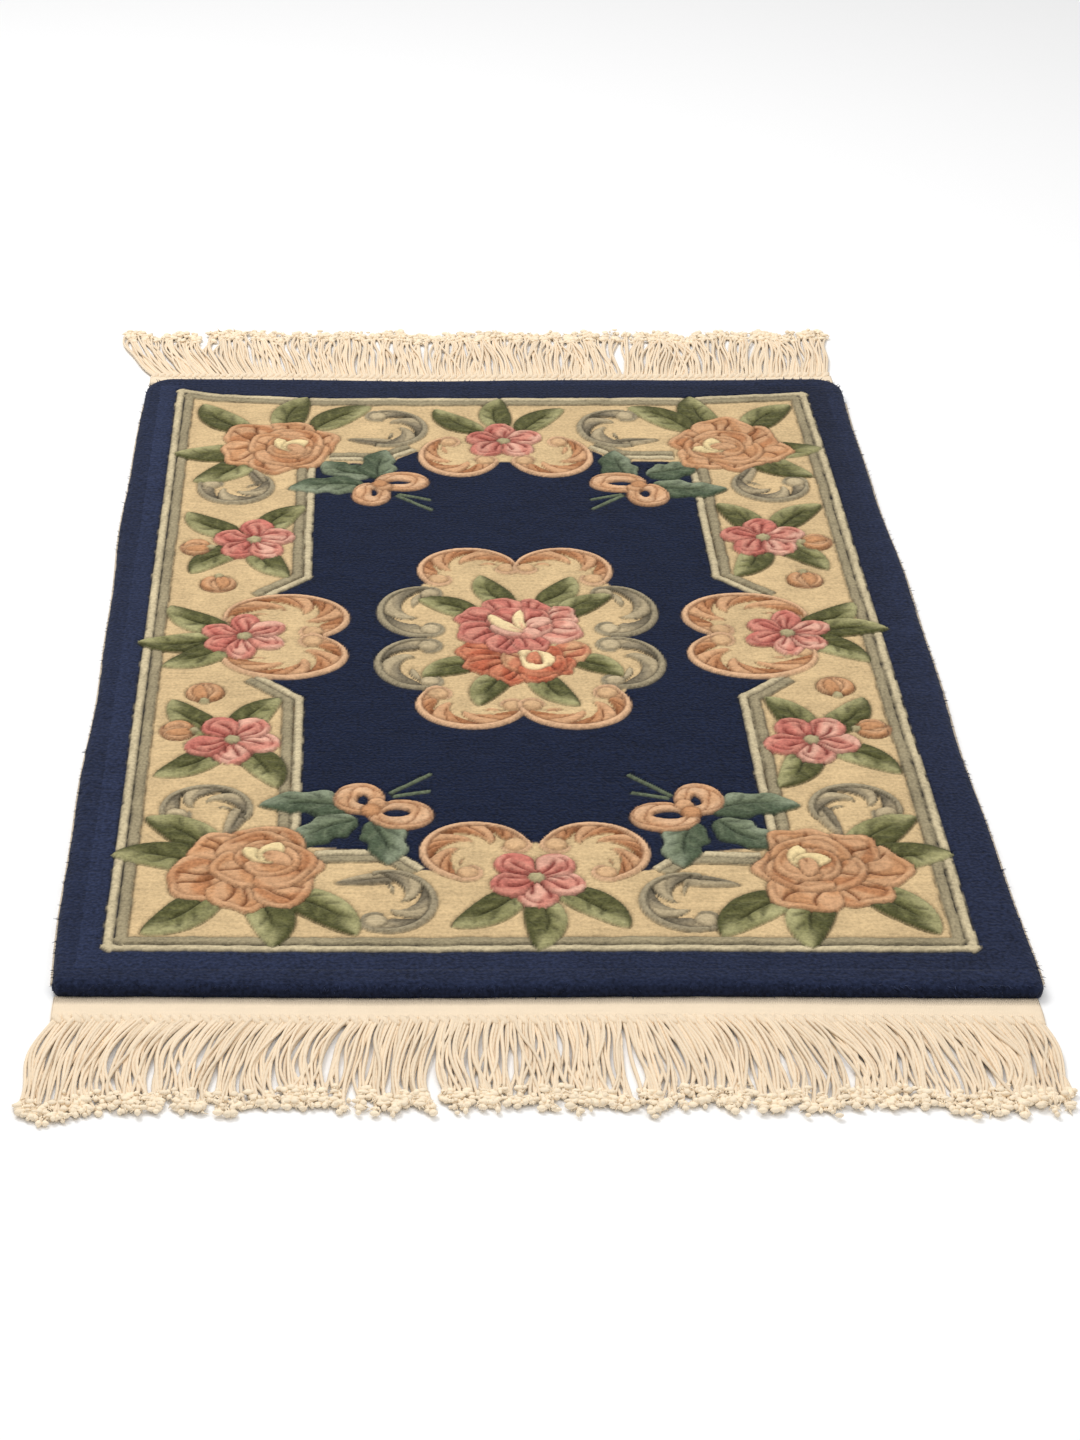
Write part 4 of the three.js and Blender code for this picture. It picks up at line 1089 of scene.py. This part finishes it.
def fuzz(material):
    """Loose wool at the pile's rim: short fibres that stand out from the upper edge and the side walls,
    leaning outward and a little along the edge."""
    rng = np.random.default_rng(FIBRE_SEED)
    along = rng.uniform(0, 4, FIBRES)
    where, face, edge = 2 * (along % 1) - 1, along.astype(int), np.ones(FIBRES)
    u, v = np.choose(face, [where, edge, where, -edge]), np.choose(face, [-edge, where, edge, where])
    rim = np.stack(pile_plan(u, v), -1)
    out = unit(rim - np.stack(pile_plan(u * 0.985, v * 0.99), -1))
    depth = rng.uniform(0, 1, FIBRES) ** 1.5
    base = rim - out * (0.6 + 2.2 * (1 - depth))[:, None] * MM
    z = (GROUND - 1.9 * MM) * (1 - 0.75 * depth**2)
    heading = out + rng.normal(0, 0.45, (FIBRES, 2))
    reach = rng.uniform(1.4, 3.0, FIBRES) * MM
    top = np.clip(z + rng.normal(0.1, 0.5, FIBRES) * reach, 0.8 * MM, None)
    tip = base + heading * reach[:, None]
    paths = np.stack([np.column_stack([base, z]), np.column_stack([tip, top])], 1)
    radius = np.array([0.5, 0.1]) * MM * rng.uniform(0.7, 1.2, (FIBRES, 1))
    shade = NAVY_BORDER * rng.uniform(0.9, 1.9, (FIBRES, 1, 1, 1))
    heap = Heap()
    heap.tubes(tube_sections(paths, radius, 3)[0], shade)
    return heap.make("rim_fibres", material, "wool_pile")


def wire(tree, node, inputs):
    """Sets a node's inputs, by name or number, each to a constant or by a link from a socket."""
    for label, value in inputs.items():
        if isinstance(value, bpy.types.NodeSocket):
            tree.links.new(value, node.inputs[label])
        else:
            node.inputs[label].default_value = value
    return node


def calc(tree, operation, *values):
    """A Math node on sockets or numbers."""
    node = tree.nodes.new("ShaderNodeMath")
    node.operation = operation
    return wire(tree, node, dict(enumerate(values))).outputs[0]


def noise(tree, vector, scale, detail):
    node = tree.nodes.new("ShaderNodeTexNoise")
    return wire(tree, node, {"Vector": vector, "Scale": scale, "Detail": detail}).outputs["Fac"]


def attribute(tree, name):
    node = tree.nodes.new("ShaderNodeAttribute")
    node.attribute_name = name
    return node.outputs["Color"]


def fibre_group():
    """Wool or cotton fibre: a fine speckle, a broad mottle and faint rows that lighten and darken a
    colour, with a height for the bump. The speckle is multiplied by 0.14 + 1 / (1 + 8 brightness)."""
    tree = bpy.data.node_groups.new("fibre", "ShaderNodeTree")
    tree.interface.new_socket("Colour", in_out="INPUT", socket_type="NodeSocketColor")
    for label in ("Speckle", "Mottle", "Rows"):
        tree.interface.new_socket(label, in_out="INPUT", socket_type="NodeSocketFloat")
    tree.interface.new_socket("Colour", in_out="OUTPUT", socket_type="NodeSocketColor")
    tree.interface.new_socket("Height", in_out="OUTPUT", socket_type="NodeSocketFloat")
    given = tree.nodes.new("NodeGroupInput").outputs
    where = tree.nodes.new("ShaderNodeTexCoord").outputs["Object"]
    along = wire(tree, tree.nodes.new("ShaderNodeMapping"), {"Vector": where, "Scale": (45, 420, 200)})
    fine, broad = noise(tree, where, 420, 3), noise(tree, where, 45, 4)
    rows = noise(tree, along.outputs[0], 1, 3)
    grey = wire(tree, tree.nodes.new("ShaderNodeRGBToBW"), {0: given["Colour"]}).outputs[0]
    dark = calc(tree, "DIVIDE", 1.0, calc(tree, "MULTIPLY_ADD", grey, 8.0, 1.0))
    amount = calc(tree, "MULTIPLY", calc(tree, "ADD", dark, 0.14), given["Speckle"])
    level = 1.0
    for value, share in ((fine, amount), (broad, given["Mottle"]), (rows, given["Rows"])):
        level = calc(tree, "MULTIPLY_ADD", calc(tree, "SUBTRACT", value, 0.5), share, level)
    scale = tree.nodes.new("ShaderNodeVectorMath")
    scale.operation = "SCALE"
    wire(tree, scale, {0: given["Colour"], "Scale": calc(tree, "MAXIMUM", level, 0.05)})
    height = calc(tree, "MULTIPLY_ADD", rows, 0.5, fine)
    wire(tree, tree.nodes.new("NodeGroupOutput"), {"Colour": scale.outputs[0], "Height": height})
    return tree


FIBRE = fibre_group()


def fibre_material(name, speckle, mottle, rows, bump, depth, sheen, relief=None):
    """A matt fibre material on the tint attribute. The bump's depth is in metres, and relief adds to the
    fibre's height."""
    material = bpy.data.materials.new(name)
    material.use_nodes = True
    tree = material.node_tree
    group = tree.nodes.new("ShaderNodeGroup")
    group.node_tree = FIBRE
    tint = attribute(tree, "tint")
    wire(tree, group, {"Colour": tint, "Speckle": speckle, "Mottle": mottle, "Rows": rows})
    height = group.outputs["Height"]
    if relief is not None:
        height = calc(tree, "ADD", height, relief(tree))
    raised = {"Strength": bump, "Distance": depth, "Height": height}
    normal = wire(tree, tree.nodes.new("ShaderNodeBump"), raised).outputs["Normal"]
    looks = {"Roughness": 0.95, "Specular IOR Level": 0.04, "Sheen Weight": sheen, "Sheen Roughness": 0.5}
    looks |= {"Base Color": group.outputs["Colour"], "Normal": normal}
    wire(tree, tree.nodes["Principled BSDF"], looks)
    return material


def ply_height(tree):
    """The twist of a two-ply strand: sin(2 a + along / pitch) from the marks along, cos a and sin a."""
    split = wire(tree, tree.nodes.new("ShaderNodeSeparateColor"), {0: attribute(tree, "mark")}).outputs
    phase = calc(tree, "MULTIPLY", split[0], 2 * pi / PLY_PITCH)
    angle = calc(tree, "MULTIPLY_ADD", calc(tree, "ARCTAN2", split[2], split[1]), 2.0, phase)
    return calc(tree, "MULTIPLY", calc(tree, "SINE", angle), 0.8)


def ridges(tree, axis, pitch):
    """A sine wave along an axis in object coordinates."""
    where = tree.nodes.new("ShaderNodeTexCoord").outputs["Object"]
    split = wire(tree, tree.nodes.new("ShaderNodeSeparateXYZ"), {0: where}).outputs
    return calc(tree, "SINE", calc(tree, "MULTIPLY", split[axis], 2 * pi / pitch))


def rib_height(tree):
    """Fine ribs across the woven band, where the mark's first value is 1."""
    split = wire(tree, tree.nodes.new("ShaderNodeSeparateColor"), {0: attribute(tree, "mark")}).outputs
    return calc(tree, "MULTIPLY", ridges(tree, 0, RIB_PITCH), calc(tree, "ADD", split[0], 0.15))


def knot_height(tree):
    """Rows of knots on the back, both ways."""
    return calc(tree, "ADD", ridges(tree, 0, KNOT_PITCH), ridges(tree, 1, KNOT_PITCH))


def studio():
    """A pale floor, a dim even surround and two large soft lamps above the far side, and the camera at
    the photograph's view."""
    scene = bpy.context.scene
    scene.view_settings.view_transform = "Standard"
    bpy.ops.mesh.primitive_plane_add(size=30, location=(0, 0, -0.4 * MM))
    floor = bpy.context.object
    floor.name = "studio_floor"
    paint = bpy.data.materials.new("studio_floor")
    paint.use_nodes = True
    shader = paint.node_tree.nodes["Principled BSDF"]
    wire(paint.node_tree, shader, {"Base Color": (0.95, 0.95, 0.95, 1), "Roughness": 0.9})
    floor.data.materials.append(paint)
    world = bpy.data.worlds.new("studio")
    world.use_nodes = True
    wire(world.node_tree, world.node_tree.nodes["Background"], {"Color": (1, 1, 1, 1), "Strength": 0.5})
    scene.world = world
    for label, x, y, z, size, power in (("key", -0.9, 0.7, 2.4, 1.1, 36), ("fill", 0.7, -1.0, 2.9, 3.0, 35)):
        lamp = bpy.data.lights.new(label, "AREA")
        lamp.size = size
        lamp.energy = power
        holder = bpy.data.objects.new(label, lamp)
        holder.location = x, y, z
        holder.rotation_euler = (atan2(hypot(x, y), z), 0, atan2(-y, -x) - pi / 2)
        scene.collection.objects.link(holder)
    lens = bpy.data.cameras.new("view")
    lens.sensor_width = 36
    lens.lens = 36 * PHOTO_FOCAL / PHOTO_TALL
    lens.shift_x = PHOTO_SHIFT / PHOTO_TALL
    lens.clip_start = 0.01
    camera = bpy.data.objects.new("view", lens)
    camera.location = (-0.1086, -1.9054, 1.0599)
    camera.rotation_euler = (radians(90 - PHOTO_TILT), 0, 0)
    scene.collection.objects.link(camera)
    scene.camera = camera


wool = fibre_material("cut_wool_pile", 2.2, 0.55, 0.4, 0.8, 1.6 * MM, 0.08)
strand_cotton = fibre_material("twisted_cotton", 0.1, 0.1, 0.0, 0.25, 0.3 * MM, 0.1, ply_height)
band_cotton = fibre_material("woven_cotton", 0.2, 0.1, 0.1, 0.8, 0.5 * MM, 0.1, rib_height)
knotted = fibre_material("knotted_back", 0.3, 0.15, 0.0, 0.9, 0.7 * MM, 0.1, knot_height)

guard_stripes()
for row in SCROLLS:
    scroll(*row)
for table, length, width in ((ROSES, 66, 31), (FLOWERS, 60, 27)):
    for x, y, *_, leaves in table:
        leaves_round(x, y, leaves, length, width)
for k, parts in enumerate(BOWS):
    bow(k, *parts)
for x, y, turned, (dx, dy), _ in ROSES:
    rose(x, y, turned, dx, dy)
for x, y, turned, count, _ in FLOWERS:
    open_flower(x, y, turned, count)
for row in BUDS:
    bud(*row)
bunch()

pile = ground(wool)
back = backing(knotted)
across, along = (-PATCH_ACROSS, PATCH_ACROSS), (NEAR_SEAM, FAR_SEAM)
pattern = [
    patch("carved_border_near", across, (-PATCH_ALONG, NEAR_SEAM), wool),
    patch("carved_border_far", across, (FAR_SEAM, PATCH_ALONG), wool),
    patch("carved_border_left", (-PATCH_ACROSS, -SIDE_SEAM), along, wool),
    patch("carved_border_right", (SIDE_SEAM, PATCH_ACROSS), along, wool),
    patch("carved_medallion", (-SIDE_SEAM, SIDE_SEAM), along, wool),
]
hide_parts("rug_pile")
trim = [fuzz(wool)]
for label in ENDS:
    strands = fringe(label, strand_cotton)
    band = end_band(label, band_cotton)
    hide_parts("fringe_" + label)
    trim += [strands, band]
for label, side in (("left", -1), ("right", 1)):
    cord = selvedge(label, side, band_cotton)
    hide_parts("selvedge_" + label)
    trim.append(cord)
studio()
